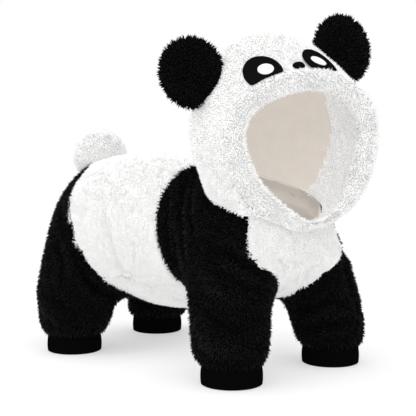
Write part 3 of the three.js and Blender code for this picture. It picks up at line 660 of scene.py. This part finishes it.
def fold_depths(spots, faces, out):
    """How far each vertex of a cloth sinks under the folds that cross it, with a slight rise beside them."""
    surface = BVHTree.FromPolygons(spots, faces)
    cloud = KDTree(len(spots))
    for index, spot in enumerate(spots):
        cloud.insert(spot, index)
    cloud.balance()
    depths = [0.0] * len(spots)
    for line, width, depth in fold_lines():
        places = [surface.find_nearest(spot, FOLD_SNAP)[0] for spot in line]
        reach = FOLD_REACH * width
        near = {}
        for k, (start, end) in enumerate(zip(places, places[1:])):
            if start is None or end is None:
                continue
            for spot, index, _ in cloud.find_range((start + end) / 2, reach + FOLD_WALL):
                away = nearest_on((start, end), spot) - spot
                away -= out[index] * away.dot(out[index])
                if away.length < near.get(index, (reach, 0))[0]:
                    near[index] = (away.length, (k + 0.5) / (len(places) - 1))
        for index, (away, share) in near.items():
            fade = math.sin(math.pi * (FOLD_START + FOLD_RUN * share)) ** FOLD_FADE
            trough = math.exp(-((away / width) ** 2)) - FOLD_SHOULDER * math.exp(-((away / width - 2) ** 2))
            depths[index] += FOLD_DEPTH * depth * fade * trough
    return depths


SMOOTHING = 3
# Round a felt piece the cloth rises towards it, and right under it the cloth is bare.
SUNK_UNDER_FELT = 0.5 * MM
FELT_REACH = 3.5 * MM
FELT_COVER = 0.4
# A face on the edge of a wall carries pile where its corners lie this far towards the outer layer, added up.
RIM_LAYERS = 3.0


def surface_of(*nodes):
    """The solids of some nodes as one searchable surface."""
    spots, faces = [], []
    for node in nodes:
        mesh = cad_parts[node].data
        first = len(spots)
        spots += [vertex.co.copy() for vertex in mesh.vertices]
        faces += [[first + index for index in face.vertices] for face in mesh.polygons]
    return BVHTree.FromPolygons(spots, faces)


# How far the hood's edge slides down the shoulder and lifts off it, how far up the hood this reaches, and how
# near the body and how far towards the outer layer its edge lies. Then the places along X where the slide
# begins, is full, lessens and ends, and the way that the shoulder faces.
COWL_SLIDE = 15.0 * MM
COWL_LIFT = 4.0 * MM
COWL_LIFT_GAIN = 1.6
COWL_REACH = 38.0 * MM
COWL_RIM = 2.5 * MM
COWL_OUTER = 0.9
COWL_FROM, COWL_FULL, COWL_LESS, COWL_TO = 0.062, 0.118, 0.140, 0.162
SHOULDER_NORMAL = Vector((0.1, 0.58, 0.8)).normalized()


def ramp(value, low, high):
    """A soft step from 0 at low to 1 at high."""
    share = max(0.0, min(1.0, (value - low) / (high - low)))
    return share * share * (3 - 2 * share)


def drape_cowl(spots, layer, side):
    """Slides the hood's lower edge down over the shoulder, where it hangs like a cowl."""
    lift = SHOULDER_NORMAL.copy()
    lift.y *= 1 if side == "left" else -1
    slide = (lift * lift.z - Vector((0, 0, 1))).normalized()
    body = surface_of(f"sleeve_{side}", "belly_panel", "back_panel")
    rim = [
        spot for i, spot in enumerate(spots)
        if layer[i] > COWL_OUTER and body.find_nearest(spot)[3] < COWL_RIM]
    cloud = KDTree(len(rim))
    for index, spot in enumerate(rim):
        cloud.insert(spot, index)
    cloud.balance()
    moved = []
    for i, spot in enumerate(spots):
        _, _, gap = cloud.find(spot)
        share = layer[i] * (1 - ramp(gap, 0, COWL_REACH))
        share *= ramp(spot.x, COWL_FROM, COWL_FULL) * (1 - ramp(spot.x, COWL_LESS, COWL_TO))
        rise = min(1.0, COWL_LIFT_GAIN * share)
        moved.append(spot + slide * COWL_SLIDE * share + lift * COWL_LIFT * rise)
    return moved


def cloth_shell(node, sink, levels=2, smoothing=SMOOTHING, under=(), drape=None):
    """A thin shell on a wall's own form, its outer side sunk to the backing, with the creases pressed in.

    Where a felt piece lies on it, the shell keeps its height and stays bare.
    """
    shape = quads_of(node)
    mark_sides(shape, hearts_of(node))
    item = subdivided(f"{node}_cloth", shape, levels)
    mesh = item.data
    out, layer, around = outward_of(mesh)
    spots = [vertex.co.copy() for vertex in mesh.vertices]
    for _ in range(smoothing):
        before = [spot.copy() for spot in spots]
        for i, near in enumerate(around):
            if layer[i] in (0, 1) and all(layer[k] == layer[i] for k in near):
                mean = sum((before[k] for k in near), Vector()) / len(near)
                spots[i] = before[i].lerp(mean, 0.5)
    if drape:
        spots = drape(spots, layer, node.rsplit("_", 1)[1])
    felt = surface_of(*under) if under else None
    depths = fold_depths(spots, [list(face.vertices) for face in mesh.polygons], out)
    covered = set()
    for i, vertex in enumerate(mesh.vertices):
        deep = sink
        if felt:
            gap = felt.find_nearest(spots[i])[3]
            if gap < FELT_REACH:
                deep = SUNK_UNDER_FELT + (sink - SUNK_UNDER_FELT) * gap / FELT_REACH
            if gap < FELT_COVER * FELT_REACH:
                covered.add(i)
        vertex.co = spots[i] - out[i] * (deep * layer[i] + depths[i])
    # The crease depth, which the plush's material turns into painted shade in the creases and a painted
    # highlight beside them.
    crease = mesh.attributes.new("crease", "FLOAT", "POINT")
    crease.data.foreach_set("value", [depth / CREASE_FULL for depth in depths])
    marks = mesh.attributes["outer"].data
    for face in mesh.polygons:
        if covered.intersection(face.vertices):
            marks[face.index].value = 0.0
        elif marks[face.index].value == 0 and sum(layer[index] for index in face.vertices) > RIM_LAYERS:
            marks[face.index].value = 1.0
    mesh.update()
    return item


def comb(item, nap):
    """Stores which way the pile leans at each vertex."""
    mesh = item.data
    lay = mesh.attributes.new("nap", "FLOAT_VECTOR", "POINT")
    for i, vertex in enumerate(mesh.vertices):
        lay.data[i].vector = nap(vertex.co, vertex.normal)


# Pile, as a tree of Geometry Nodes

# A tuft is a small cone. Its roundness and bow are shares of its width and length, and the rest is how far
# tufts differ: how they stand, how they turn, in radians, and the shares of their lengths and widths.
TUFT_SEGMENTS = 1
TUFT_CORNERS = 3
TUFT_ROUND = 0.54
TUFT_BOW = 0.3
TUFT_JITTER = 0.28
TUFT_SPIN = 2.2
TUFT_LENGTHS = (0.72, 1.25)
TUFT_WIDTHS = (0.8, 1.2)


def tree_with(name, inputs):
    """An empty geometry tree with named inputs. Returns its graph, its inputs as wires and their keys."""
    tree = bpy.data.node_groups.new(name, "GeometryNodeTree")
    tree.interface.new_socket("Geometry", in_out="INPUT", socket_type="NodeSocketGeometry")
    tree.interface.new_socket("Geometry", in_out="OUTPUT", socket_type="NodeSocketGeometry")
    keys = {}
    for label, kind in inputs:
        keys[label] = tree.interface.new_socket(label, in_out="INPUT", socket_type=kind).identifier
    graph = Graph(tree)
    first = graph.add("NodeGroupInput")
    wires = {label: graph.also(first, key) for label, key in keys.items()}
    wires["Geometry"] = first
    return graph, wires, keys


def finish_tree(graph, geometry, finish):
    """Ends a tree: instances made real, shaded smooth and given their material."""
    real = graph.add("GeometryNodeRealizeInstances", None, {"Geometry": geometry})
    smooth = graph.add("GeometryNodeSetShadeSmooth", None, {"Geometry": real})
    dressed = graph.add("GeometryNodeSetMaterial", None, {"Geometry": smooth, "Material": finish})
    graph.add("NodeGroupOutput", None, {"Geometry": dressed})


PILE_INPUTS = [
    ("Tuft length", "NodeSocketFloat"), ("Tuft width", "NodeSocketFloat"), ("Spacing", "NodeSocketFloat"),
    ("Lean", "NodeSocketFloat"), ("Swirl", "NodeSocketFloat"), ("Seed", "NodeSocketInt"),
    ("Finish", "NodeSocketMaterial"),
]
SWIRL_SCALE = 115.0
PACKING = 1.6


def tuft(graph, length, width):
    """One tuft: a three-sided lock that leans over towards its +X, with its height stored for the shading."""
    lock = graph.add(
        "GeometryNodeMeshCone", {"fill_type": "NGON"},
        {"Vertices": TUFT_CORNERS, "Side Segments": TUFT_SEGMENTS, "Radius Top": 0.0,
         "Radius Bottom": width * TUFT_ROUND, "Depth": length})
    spot = graph.add("GeometryNodeInputPosition")
    x, y, z = graph.axes(spot)
    height = z / length
    bowed = graph.joined(x + height * height * length * TUFT_BOW, y, z)
    marked = graph.add(
        "GeometryNodeStoreNamedAttribute", {"data_type": "FLOAT", "domain": "POINT"},
        {"Geometry": lock, "Name": "tip", "Value": height})
    return graph.add("GeometryNodeSetPosition", None, {"Geometry": marked, "Position": bowed})


def random_number(graph, low, high, seed):
    return graph.add(
        "FunctionNodeRandomValue", {"data_type": "FLOAT"}, {"Min_001": low, "Max_001": high, "Seed": seed},
        "Value_001")


def pile_tree():
    """Tufts scattered over the outer faces of a cloth, leaning along its nap in soft swirls."""
    if "pile" in bpy.data.node_groups:
        tree = bpy.data.node_groups["pile"]
        keys = {item.name: item.identifier for item in tree.interface.items_tree if item.in_out == "INPUT"}
        return tree, keys
    graph, wires, keys = tree_with("pile", PILE_INPUTS)
    seed, spacing = wires["Seed"], wires["Spacing"]
    outer = graph.add("GeometryNodeInputNamedAttribute", {"data_type": "FLOAT"}, {"Name": "outer"})
    points = graph.add(
        "GeometryNodeDistributePointsOnFaces", {"distribute_method": "POISSON"},
        {"Mesh": wires["Geometry"], "Selection": outer > 0.5, "Distance Min": spacing,
         "Density Max": PACKING / (spacing * spacing), "Seed": seed})
    normal = graph.also(points, "Normal")
    nap = graph.add("GeometryNodeInputNamedAttribute", {"data_type": "FLOAT_VECTOR"}, {"Name": "nap"})
    spot = graph.add("GeometryNodeInputPosition")
    noise = graph.add(
        "ShaderNodeTexNoise", None, {"Vector": spot, "Scale": SWIRL_SCALE, "Detail": 1.0}, "Color")
    swirl = graph.scaled(graph.vector("SUBTRACT", noise, (0.5, 0.5, 0.5)), wires["Swirl"] * 2.0)
    jitter = graph.add(
        "FunctionNodeRandomValue", {"data_type": "FLOAT_VECTOR"},
        {"Min": (-TUFT_JITTER,) * 3, "Max": (TUFT_JITTER,) * 3, "Seed": seed}, "Value")
    lie = graph.vector("ADD", graph.scaled(nap, wires["Lean"]), swirl)
    along = graph.vector("ADD", graph.vector("ADD", normal, lie), jitter)
    upright = graph.add("FunctionNodeAlignRotationToVector", {"axis": "Z"}, {"Vector": along})
    facing = graph.add(
        "FunctionNodeAlignRotationToVector", {"axis": "X", "pivot_axis": "Z"},
        {"Rotation": upright, "Vector": lie})
    spin = graph.add(
        "FunctionNodeAxisAngleToRotation", None,
        {"Axis": (0, 0, 1), "Angle": random_number(graph, -TUFT_SPIN, TUFT_SPIN, seed + 3)})
    turned = graph.add(
        "FunctionNodeRotateRotation", {"rotation_space": "LOCAL"}, {"Rotation": facing, "Rotate By": spin})
    long = random_number(graph, *TUFT_LENGTHS, seed + 5)
    wide = random_number(graph, *TUFT_WIDTHS, seed + 9)
    marked = graph.add(
        "GeometryNodeStoreNamedAttribute", {"data_type": "FLOAT", "domain": "POINT"},
        {"Geometry": points, "Name": "shade", "Value": random_number(graph, 0.0, 1.0, seed + 11)})
    marked = graph.add(
        "GeometryNodeStoreNamedAttribute", {"data_type": "FLOAT_VECTOR", "domain": "POINT"},
        {"Geometry": marked, "Name": "flow", "Value": normal})
    tufts = graph.add(
        "GeometryNodeInstanceOnPoints", None,
        {"Points": marked, "Instance": tuft(graph, wires["Tuft length"], wires["Tuft width"]),
         "Rotation": turned, "Scale": graph.joined(wide, wide, long)})
    finish_tree(graph, tufts, wires["Finish"])
    return graph.tree, keys


def grown(name, base, tree, keys, values):
    """A new piece from a tree run on a base object, as a plain mesh."""
    item = new_object(name, base.data.copy() if base else bpy.data.meshes.new(name))
    work = item.modifiers.new(name, "NODES")
    work.node_group = tree
    for label, value in values.items():
        work[keys[label]] = value
    made = plain_mesh(item)
    old = item.data
    item.data = made
    bpy.data.meshes.remove(old)
    made.name = name
    return item


def pile_on(item, finish, seed, length=1.0, spacing=1.0, width=1.0, lean=1.0, swirl=1.0):
    """Grows pile on a cloth; length, spacing, width, lean and swirl are shares of the plush's own."""
    sizes = cloth()
    tree, keys = pile_tree()
    name = item.name.replace("_cloth", "") + "_pile"
    made = grown(name, item, tree, keys, {
        "Tuft length": sizes.pile_length * length, "Tuft width": sizes.tuft_width * width,
        "Spacing": sizes.pile_spacing * spacing, "Lean": sizes.pile_lean * lean,
        "Swirl": sizes.pile_swirl * swirl, "Seed": seed, "Finish": material(finish),
    })
    for spare in ("outer", "nap"):
        layer = made.data.attributes.get(spare)
        if layer:
            made.data.attributes.remove(layer)
    return made


def dress(item, finish):
    item.data.materials.clear()
    item.data.materials.append(material(finish))


def settle_piece(item, slot, *nodes):
    """Puts a finished piece on the suit's one body, in place of its solids."""
    if nodes:
        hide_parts(*nodes)
    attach(item, "root")
    return item


# What each colour of plush has of the plush's own sizes: the depth of its backing, and its pile.
SHADES = {
    "white": {
        "sink": 0.35, "pile": {"length": 0.66, "width": 0.72, "spacing": 0.88, "lean": 0.6, "swirl": 1.1}},
    "black": {
        "sink": 0.8, "pile": {"length": 1.0, "width": 0.8, "spacing": 1.1, "lean": 1.3, "swirl": 1.4}},
}


def plush_wall(node, shade, nap, seed, flat, area, levels=2, under=(), drape=None, **pile):
    """One cut piece of plush: its cloth and the pile on it. flat and area are not used."""
    item = cloth_shell(node, cloth().pile_sink * SHADES[shade]["sink"], levels, under=under, drape=drape)
    comb(item, nap)
    pile = {**SHADES[shade]["pile"], **pile}
    dress(item, f"{shade}_backing")
    fur = pile_on(item, f"{shade}_plush", seed, **pile)
    settle_piece(item, f"{shade}_plush", node)
    settle_piece(fur, f"{shade}_plush")
    return item


def along_surface(direction, normal):
    """A direction with what points out of the cloth taken away."""
    flat = direction - normal * direction.dot(normal)
    return flat.normalized() if flat.length > 0.05 else flat


def down_and_back(spot, normal):
    return along_surface(Vector((-0.55, 0, -0.8)), normal)


def down_the_leg(spot, normal):
    return along_surface(Vector((-0.15, 0, -1)), normal)


def back_over_the_hood(spot, normal):
    return along_surface(Vector((-0.7, 0, -0.5)), normal)


def without_nap(spot, normal):
    return Vector()


# Operators, one for each piece or group of like pieces


class JUMPSUIT_OT_body(bpy.types.Operator):
    """Makes the back panel and the chest and belly panel"""

    bl_idname = "jumpsuit.body"
    bl_label = "Body panels"

    def execute(self, context):
        plush_wall("back_panel", "white", down_and_back, seed=11, flat=(0.30, 0.24), area=0.055, levels=3)
        plush_wall("belly_panel", "white", down_and_back, seed=12, flat=(0.22, 0.30), area=0.034)
        return {"FINISHED"}


class JUMPSUIT_OT_legs(bpy.types.Operator):
    """Makes the two sleeves and the two hind legs"""

    bl_idname = "jumpsuit.legs"
    bl_label = "Sleeves and hind legs"

    def execute(self, context):
        for k, side in enumerate(SIDES):
            plush_wall(f"sleeve_{side}", "black", down_the_leg, seed=21 + k, flat=(0.27, 0.21), area=0.038)
            plush_wall(f"hind_leg_{side}", "black", down_the_leg, seed=31 + k, flat=(0.28, 0.23), area=0.043)
        return {"FINISHED"}


CUFF_INPUTS = [
    ("Radius", "NodeSocketFloat"), ("Height", "NodeSocketFloat"), ("Wall", "NodeSocketFloat"),
    ("Ribs", "NodeSocketInt"), ("Rise", "NodeSocketFloat"), ("Flare", "NodeSocketFloat"),
    ("Centre", "NodeSocketVector"), ("Finish", "NodeSocketMaterial"),
]
STEPS_PER_RIB = 5
SECTION_POINTS = 22
CORNER_POINTS = 3
# The rounding of the section's corners as a share of the wall, how far down the cuff is widest as a share of
# its height, the share of a rib's rise that lies inside the cuff's radius, and how far that radius lies inside
# the solid's as a share of the rise.
CUFF_ROUNDING = 0.42
CUFF_WIDEST = 0.62
RIB_MIDDLE = 0.75
RIB_INSET = 0.3
# How far a cuff reaches up inside the hem of its leg.
CUFF_TUCK = 3.0 * MM


def cuff_tree():
    """A ribbed band: a rounded section swept round a circle, with ribs raised on its outer side."""
    graph, wires, keys = tree_with("ribbed cuff", CUFF_INPUTS)
    radius, height, wall = wires["Radius"], wires["Height"], wires["Wall"]
    ribs = wires["Ribs"]
    ring = graph.add(
        "GeometryNodeCurvePrimitiveCircle", {"mode": "RADIUS"},
        {"Resolution": ribs * STEPS_PER_RIB, "Radius": radius - wall * 0.5})
    upright = graph.add("GeometryNodeSetCurveNormal", {"mode": "Z_UP"}, {"Curve": ring})
    section = graph.add(
        "GeometryNodeCurvePrimitiveQuadrilateral", {"mode": "RECTANGLE"}, {"Width": wall, "Height": height})
    rounded = graph.add(
        "GeometryNodeFilletCurve", {"mode": "POLY"},
        {"Curve": section, "Count": CORNER_POINTS, "Radius": wall * CUFF_ROUNDING})
    fine = graph.add(
        "GeometryNodeResampleCurve", {"mode": "COUNT"}, {"Curve": rounded, "Count": SECTION_POINTS})
    tube = graph.add(
        "GeometryNodeCurveToMesh", None, {"Curve": upright, "Profile Curve": fine, "Fill Caps": False})
    spot = graph.add("GeometryNodeInputPosition")
    x, y, z = graph.axes(spot)
    reach = (x * x + y * y) ** 0.5
    angle = graph.add("ShaderNodeMath", {"operation": "ARCTAN2"}, {0: y, 1: x})
    wave = graph.add("ShaderNodeMath", {"operation": "COSINE"}, {0: angle * ribs * 0.5})
    on_outside = reach > (radius - wall * 0.5)
    low = (0.5 - z / height) / CUFF_WIDEST - 1.0
    swell = 1.0 + wires["Flare"] * (1.0 - low * low)
    rise = (abs(wave) - RIB_MIDDLE) * wires["Rise"] * on_outside
    share = swell + rise / radius
    placed = graph.vector("ADD", graph.joined(x * share, y * share, z), wires["Centre"])
    made = graph.add("GeometryNodeSetPosition", None, {"Geometry": tube, "Position": placed})
    finish_tree(graph, made, wires["Finish"])
    return graph.tree, keys


class JUMPSUIT_OT_cuffs(bpy.types.Operator):
    """Makes the four ribbed cuffs"""

    bl_idname = "jumpsuit.cuffs"
    bl_label = "Cuffs"

    def execute(self, context):
        sizes = cloth()
        tree, keys = cuff_tree()
        for _, cuff in LEG_ENDS:
            for side in SIDES:
                node = f"{cuff}_{side}"
                low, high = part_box(node)
                high.z += CUFF_TUCK
                item = grown(f"{node}_knit", None, tree, keys, {
                    "Radius": (high.x - low.x) / 2 - sizes.rib_rise * RIB_INSET, "Height": high.z - low.z,
                    "Wall": sizes.knit_wall, "Ribs": sizes.ribs, "Rise": sizes.rib_rise,
                    "Flare": sizes.cuff_flare, "Centre": (low + high) / 2, "Finish": material("rib_knit"),
                })
                settle_piece(item, "rib_knit", node)
        return {"FINISHED"}


class JUMPSUIT_OT_hood(bpy.types.Operator):
    """Makes the two halves of the hood"""

    bl_idname = "jumpsuit.hood"
    bl_label = "Hood"

    def execute(self, context):
        for k, side in enumerate(SIDES):
            plush_wall(
                f"hood_{side}", "white", back_over_the_hood, seed=41 + k, flat=(0.24, 0.26), area=0.034,
                under=(f"eye_patch_{side}", "nose"), drape=drape_cowl)
        return {"FINISHED"}


# The strip of plush inside the face opening, and how much wider it gets below a level, for each metre down.
FACING_WIDTH = 50 * MM
FACING_LEVEL = 0.33
FACING_GROWTH = 0.09
FACING_PILE = 0.5
# The neck lining: how near the hood's lining it is pulled up to it, how fast the pull grows, how far it goes
# over the edge and inwards, and how deep the rest hangs.
NECK_REACH = 16 * MM
NECK_GAIN = 2.5
NECK_OVERLAP = 2.0 * MM
NECK_INSET = 5.5 * MM
NECK_DROP = 32 * MM


class JUMPSUIT_OT_lining(bpy.types.Operator):
    """Makes the fleece lining of the hood and the neck"""

    bl_idname = "jumpsuit.lining"
    bl_label = "Lining"

    def execute(self, context):
        band = surface_of("face_band")
        for k, side in enumerate(SIDES):
            item = cloth_shell(f"hood_lining_{side}", 0.0, levels=3)
            dress(item, "fleece_lining")
            item.data.materials.append(material("white_backing"))
            self.face_with_plush(item.data, band)
            comb(item, without_nap)
            fur = pile_on(item, "white_plush", 81 + k, length=FACING_PILE, lean=0.0)
            settle_piece(item, "fleece_lining", f"hood_lining_{side}")
            settle_piece(fur, "white_plush")
        neck = cloth_shell("neck_lining", 0.0, smoothing=0)
        self.reach_up(neck.data)
        dress(neck, "fleece_lining")
        settle_piece(neck, "fleece_lining", "neck_lining")
        return {"FINISHED"}

    def face_with_plush(self, mesh, band):
        """Marks the strip of the inner side next to the band that is faced with plush."""
        marks = mesh.attributes["outer"].data
        for face in mesh.polygons:
            limit = FACING_WIDTH + max(0.0, FACING_LEVEL - face.center.z) * FACING_GROWTH
            faced = marks[face.index].value < 0 and band.find_nearest(face.center)[3] < limit
            marks[face.index].value = 1.0 if faced else 0.0
            face.material_index = 1 if faced else 0

    def reach_up(self, mesh):
        """Pulls the top of the neck lining up to the lower edge of the hood's lining, a little over it."""
        lining = surface_of("hood_lining_right", "hood_lining_left")
        inward = Vector((HOOD_HEART.x, HOOD_HEART.y, 0))
        for vertex in mesh.vertices:
            spot, _, _, gap = lining.find_nearest(vertex.co)
            if gap < NECK_REACH:
                share = 1 - gap / NECK_REACH
                lift = min(1.0, NECK_GAIN * share)
                aside = (inward - Vector((spot.x, spot.y, 0))).normalized() * NECK_INSET
                over = (spot - vertex.co).normalized() * NECK_OVERLAP
                vertex.co = vertex.co.lerp(spot + over + aside, lift)
            else:
                low = min(1.0, (gap - NECK_REACH) / NECK_REACH)
                aside = (inward - Vector((vertex.co.x, vertex.co.y, 0))).normalized() * NECK_INSET
                vertex.co += aside - Vector((0, 0, low * NECK_DROP))
        mesh.update()


STUFFED_SMOOTHING = 0.4


def stuffed(node, levels, sink, under=()):
    """A smooth stuffed form on a closed solid, sunk to the backing and bare where a felt piece lies on it."""
    item = subdivided(f"{node}_cloth", quads_of(node), levels)
    mesh = item.data
    shape = bmesh.new()
    shape.from_mesh(mesh)
    bmesh.ops.smooth_vert(
        shape, verts=shape.verts, factor=STUFFED_SMOOTHING, use_axis_x=True, use_axis_y=True, use_axis_z=True)
    bmesh.ops.recalc_face_normals(shape, faces=shape.faces)
    shape.normal_update()
    for vertex, normal in [(v, v.normal.copy()) for v in shape.verts]:
        vertex.co -= normal * sink
    shape.to_mesh(mesh)
    shape.free()
    outer = mesh.attributes.new("outer", "FLOAT", "FACE")
    felt = surface_of(*under) if under else None
    for face in mesh.polygons:
        bare = felt and felt.find_nearest(face.center)[3] < FELT_REACH
        outer.data[face.index].value = 0.0 if bare else 1.0
    mesh.update()
    return item


def stuffed_plush(node, shade, nap, seed, fill, levels=1, sink=1.0, under=(), **pile):
    """A stuffed plush piece with pile all over; sink is a share of the plush's own."""
    item = stuffed(node, levels, cloth().pile_sink * sink, under)
    comb(item, nap)
    pile = {**SHADES[shade]["pile"], **pile}
    dress(item, f"{shade}_backing")
    fur = pile_on(item, f"{shade}_plush", seed, **pile)
    settle_piece(item, f"{shade}_plush", node)
    settle_piece(fur, f"{shade}_plush")
    return item


class JUMPSUIT_OT_face_band(bpy.types.Operator):
    """Makes the rolled plush band round the face"""

    bl_idname = "jumpsuit.face_band"
    bl_label = "Face band"

    def execute(self, context):
        stuffed_plush(
            "face_band", "white", back_over_the_hood, seed=51, fill=0.7, levels=2, sink=0.3, lean=0.3,
            length=0.95, width=0.9, under=("eye_patch_right", "eye_patch_left"))
        return {"FINISHED"}


# The far ear is a little fuller than the near one.
EAR_SINK = {"right": 0.35, "left": -0.4}


class JUMPSUIT_OT_ears(bpy.types.Operator):
    """Makes the two round ears"""

    bl_idname = "jumpsuit.ears"
    bl_label = "Ears"

    def execute(self, context):
        for k, side in enumerate(SIDES):
            heart = middle_of(f"ear_{side}")

            def outward(spot, normal, heart=heart):
                return along_surface((spot - heart).normalized(), normal)

            stuffed_plush(
                f"ear_{side}", "black", outward, seed=61 + k, fill=0.6, levels=2, sink=EAR_SINK[side],
                lean=0.8)
        return {"FINISHED"}


class JUMPSUIT_OT_tail(bpy.types.Operator):
    """Makes the round tail"""

    bl_idname = "jumpsuit.tail"
    bl_label = "Tail"

    def execute(self, context):
        stuffed_plush(
            "tail", "white", down_and_back, seed=71, fill=0.8, levels=2, sink=-0.2, length=0.95, width=0.62,
            spacing=0.8, lean=0.5)
        return {"FINISHED"}


# The eyes' height and the patches' size as shares of their solids', and how far both stand off the pile.
EYE_HEIGHT = 0.85
PATCH_SHARE = 1.08
FELT_RISE = 0.9 * MM
PATCH_FLAT = (0.044, 0.040)
EYE_FLAT = (0.020, 0.016)
FELT_CRISP = 0.5
NOSE_CRISP = 0.3


class JUMPSUIT_OT_face(bpy.types.Operator):
    """Makes the felt eye patches, eyes and nose"""

    bl_idname = "jumpsuit.face"
    bl_label = "Face"

    def execute(self, context):
        pieces = []
        for side in SIDES:
            pieces.append((f"eye_patch_{side}", "black_felt", PATCH_FLAT))
            pieces.append((f"eye_{side}", "white_felt", EYE_FLAT))
        for node, finish, flat in pieces:
            shape = quads_of(node)
            mark_sharp(shape, FELT_CRISP)
            item = subdivided(f"{node}_felt", shape, 2)
            middle = middle_of(node)
            for vertex in item.data.vertices:
                if node.startswith("eye_patch"):
                    vertex.co = middle + (vertex.co - middle) * PATCH_SHARE
                else:
                    vertex.co.z = middle.z + (vertex.co.z - middle.z) * EYE_HEIGHT
                vertex.co += (vertex.co - HOOD_HEART).normalized() * FELT_RISE
            dress(item, finish)
            settle_piece(item, finish, node)
        shape = quads_of("nose")
        mark_sharp(shape, NOSE_CRISP)
        nose = subdivided("nose_felt", shape, 2)
        dress(nose, "black_felt")
        settle_piece(nose, "black_felt", "nose")
        return {"FINISHED"}


FLOOR_GLOW = 0.44
FLOOR_SHADES = ((0.54, 0.54, 0.541, 1), (0.55, 0.55, 0.551, 1))
FLOOR_SEGMENTS = 96
AIM = (0, 0, 0.2)
SENSOR_WIDTH = 36.0
FURTHEST = 100.0
LAMPS = [
    {"name": "key", "at": (0.9, -1.5, 2.3), "size": 4.0, "share": 1.0},
    {"name": "fill", "at": (-1.7, -1.0, 1.6), "size": 4.0, "share": 0.45},
]


class JUMPSUIT_OT_studio(bpy.types.Operator):
    """Makes the floor, the soft light and the camera"""

    bl_idname = "jumpsuit.studio"
    bl_label = "Studio"

    def execute(self, context):
        scene = context.scene
        settings = studio()
        self.floor(settings)
        self.light(scene, settings)
        self.camera(scene, settings)
        scene.view_settings.view_transform = "Standard"
        return {"FINISHED"}

    def floor(self, settings):
        shape = bmesh.new()
        bmesh.ops.create_circle(
            shape, cap_ends=True, segments=FLOOR_SEGMENTS, radius=settings.floor_radius)
        mesh = bpy.data.meshes.new("floor")
        shape.to_mesh(mesh)
        shape.free()
        item = new_object("floor", mesh)
        made, graph, shader, spot = new_material("paper")
        grain = graph.add("ShaderNodeTexNoise", None, {"Vector": spot, "Scale": 6.0, "Detail": 2.0})
        link(graph, graph.mix(grain, *FLOOR_SHADES), shader, "Base Color")
        link(graph, 0.92 + 0.05 * grain, shader, "Roughness")
        shader.inputs["Specular IOR Level"].default_value = 0.1
        set_glow(shader, (1.0, 1.0, 1.0), FLOOR_GLOW)
        mesh.materials.append(made)

    def light(self, scene, settings):
        world = bpy.data.worlds.new("soft light")
        world.use_nodes = True
        world.node_tree.nodes.clear()
        graph = Graph(world.node_tree)
        sky = graph.add("ShaderNodeBackground", None, {"Color": (1, 1, 1, 1), "Strength": settings.sky})
        graph.add("ShaderNodeOutputWorld", None, {"Surface": sky})
        scene.world = world
        for lamp in LAMPS:
            data = bpy.data.lights.new(lamp["name"], "AREA")
            data.shape = "DISK"
            data.size = lamp["size"]
            data.energy = settings.key * lamp["share"]
            item = bpy.data.objects.new(lamp["name"], data)
            item.location = lamp["at"]
            aim = Vector(AIM) - item.location
            item.rotation_euler = aim.to_track_quat("-Z", "Y").to_euler()
            scene.collection.objects.link(item)

    def camera(self, scene, settings):
        data = bpy.data.cameras.new("camera")
        data.lens = settings.lens
        data.sensor_width = SENSOR_WIDTH
        data.clip_end = FURTHEST
        item = bpy.data.objects.new("camera", data)
        item.location = settings.camera_place
        item.rotation_euler = (math.pi / 2 - settings.camera_pitch, 0.0, settings.camera_azimuth)
        scene.collection.objects.link(item)
        scene.camera = item


class JUMPSUIT_PT_pieces(bpy.types.Panel):
    """The pieces of the jumpsuit and their sizes"""

    bl_idname = "JUMPSUIT_PT_pieces"
    bl_label = "Dog jumpsuit"
    bl_space_type = "VIEW_3D"
    bl_region_type = "UI"
    bl_category = "Jumpsuit"

    def draw(self, context):
        for group in (cloth(), colours(), studio()):
            box = self.layout.box()
            for key in group.__annotations__:
                box.prop(group, key)
        for step in STEPS:
            self.layout.operator(step.bl_idname)


STEPS = (
    JUMPSUIT_OT_body, JUMPSUIT_OT_legs, JUMPSUIT_OT_cuffs, JUMPSUIT_OT_hood, JUMPSUIT_OT_lining,
    JUMPSUIT_OT_face_band, JUMPSUIT_OT_ears, JUMPSUIT_OT_tail, JUMPSUIT_OT_face, JUMPSUIT_OT_studio,
)
GROUPS = {"jumpsuit_cloth": ClothSizes, "jumpsuit_colours": ClothColours, "jumpsuit_studio": StudioSizes}


def register():
    for kind in (*GROUPS.values(), *STEPS, JUMPSUIT_PT_pieces):
        bpy.utils.register_class(kind)
    for name, kind in GROUPS.items():
        setattr(bpy.types.Scene, name, PointerProperty(type=kind))


def unregister():
    for name in GROUPS:
        delattr(bpy.types.Scene, name)
    for kind in (JUMPSUIT_PT_pieces, *reversed(STEPS), *reversed(GROUPS.values())):
        bpy.utils.unregister_class(kind)


def main():
    register()
    bpy.ops.jumpsuit.body()
    bpy.ops.jumpsuit.legs()
    bpy.ops.jumpsuit.cuffs()
    bpy.ops.jumpsuit.hood()
    bpy.ops.jumpsuit.lining()
    bpy.ops.jumpsuit.face_band()
    bpy.ops.jumpsuit.ears()
    bpy.ops.jumpsuit.tail()
    bpy.ops.jumpsuit.face()
    bpy.ops.jumpsuit.studio()


if __name__ == "__main__":
    main()
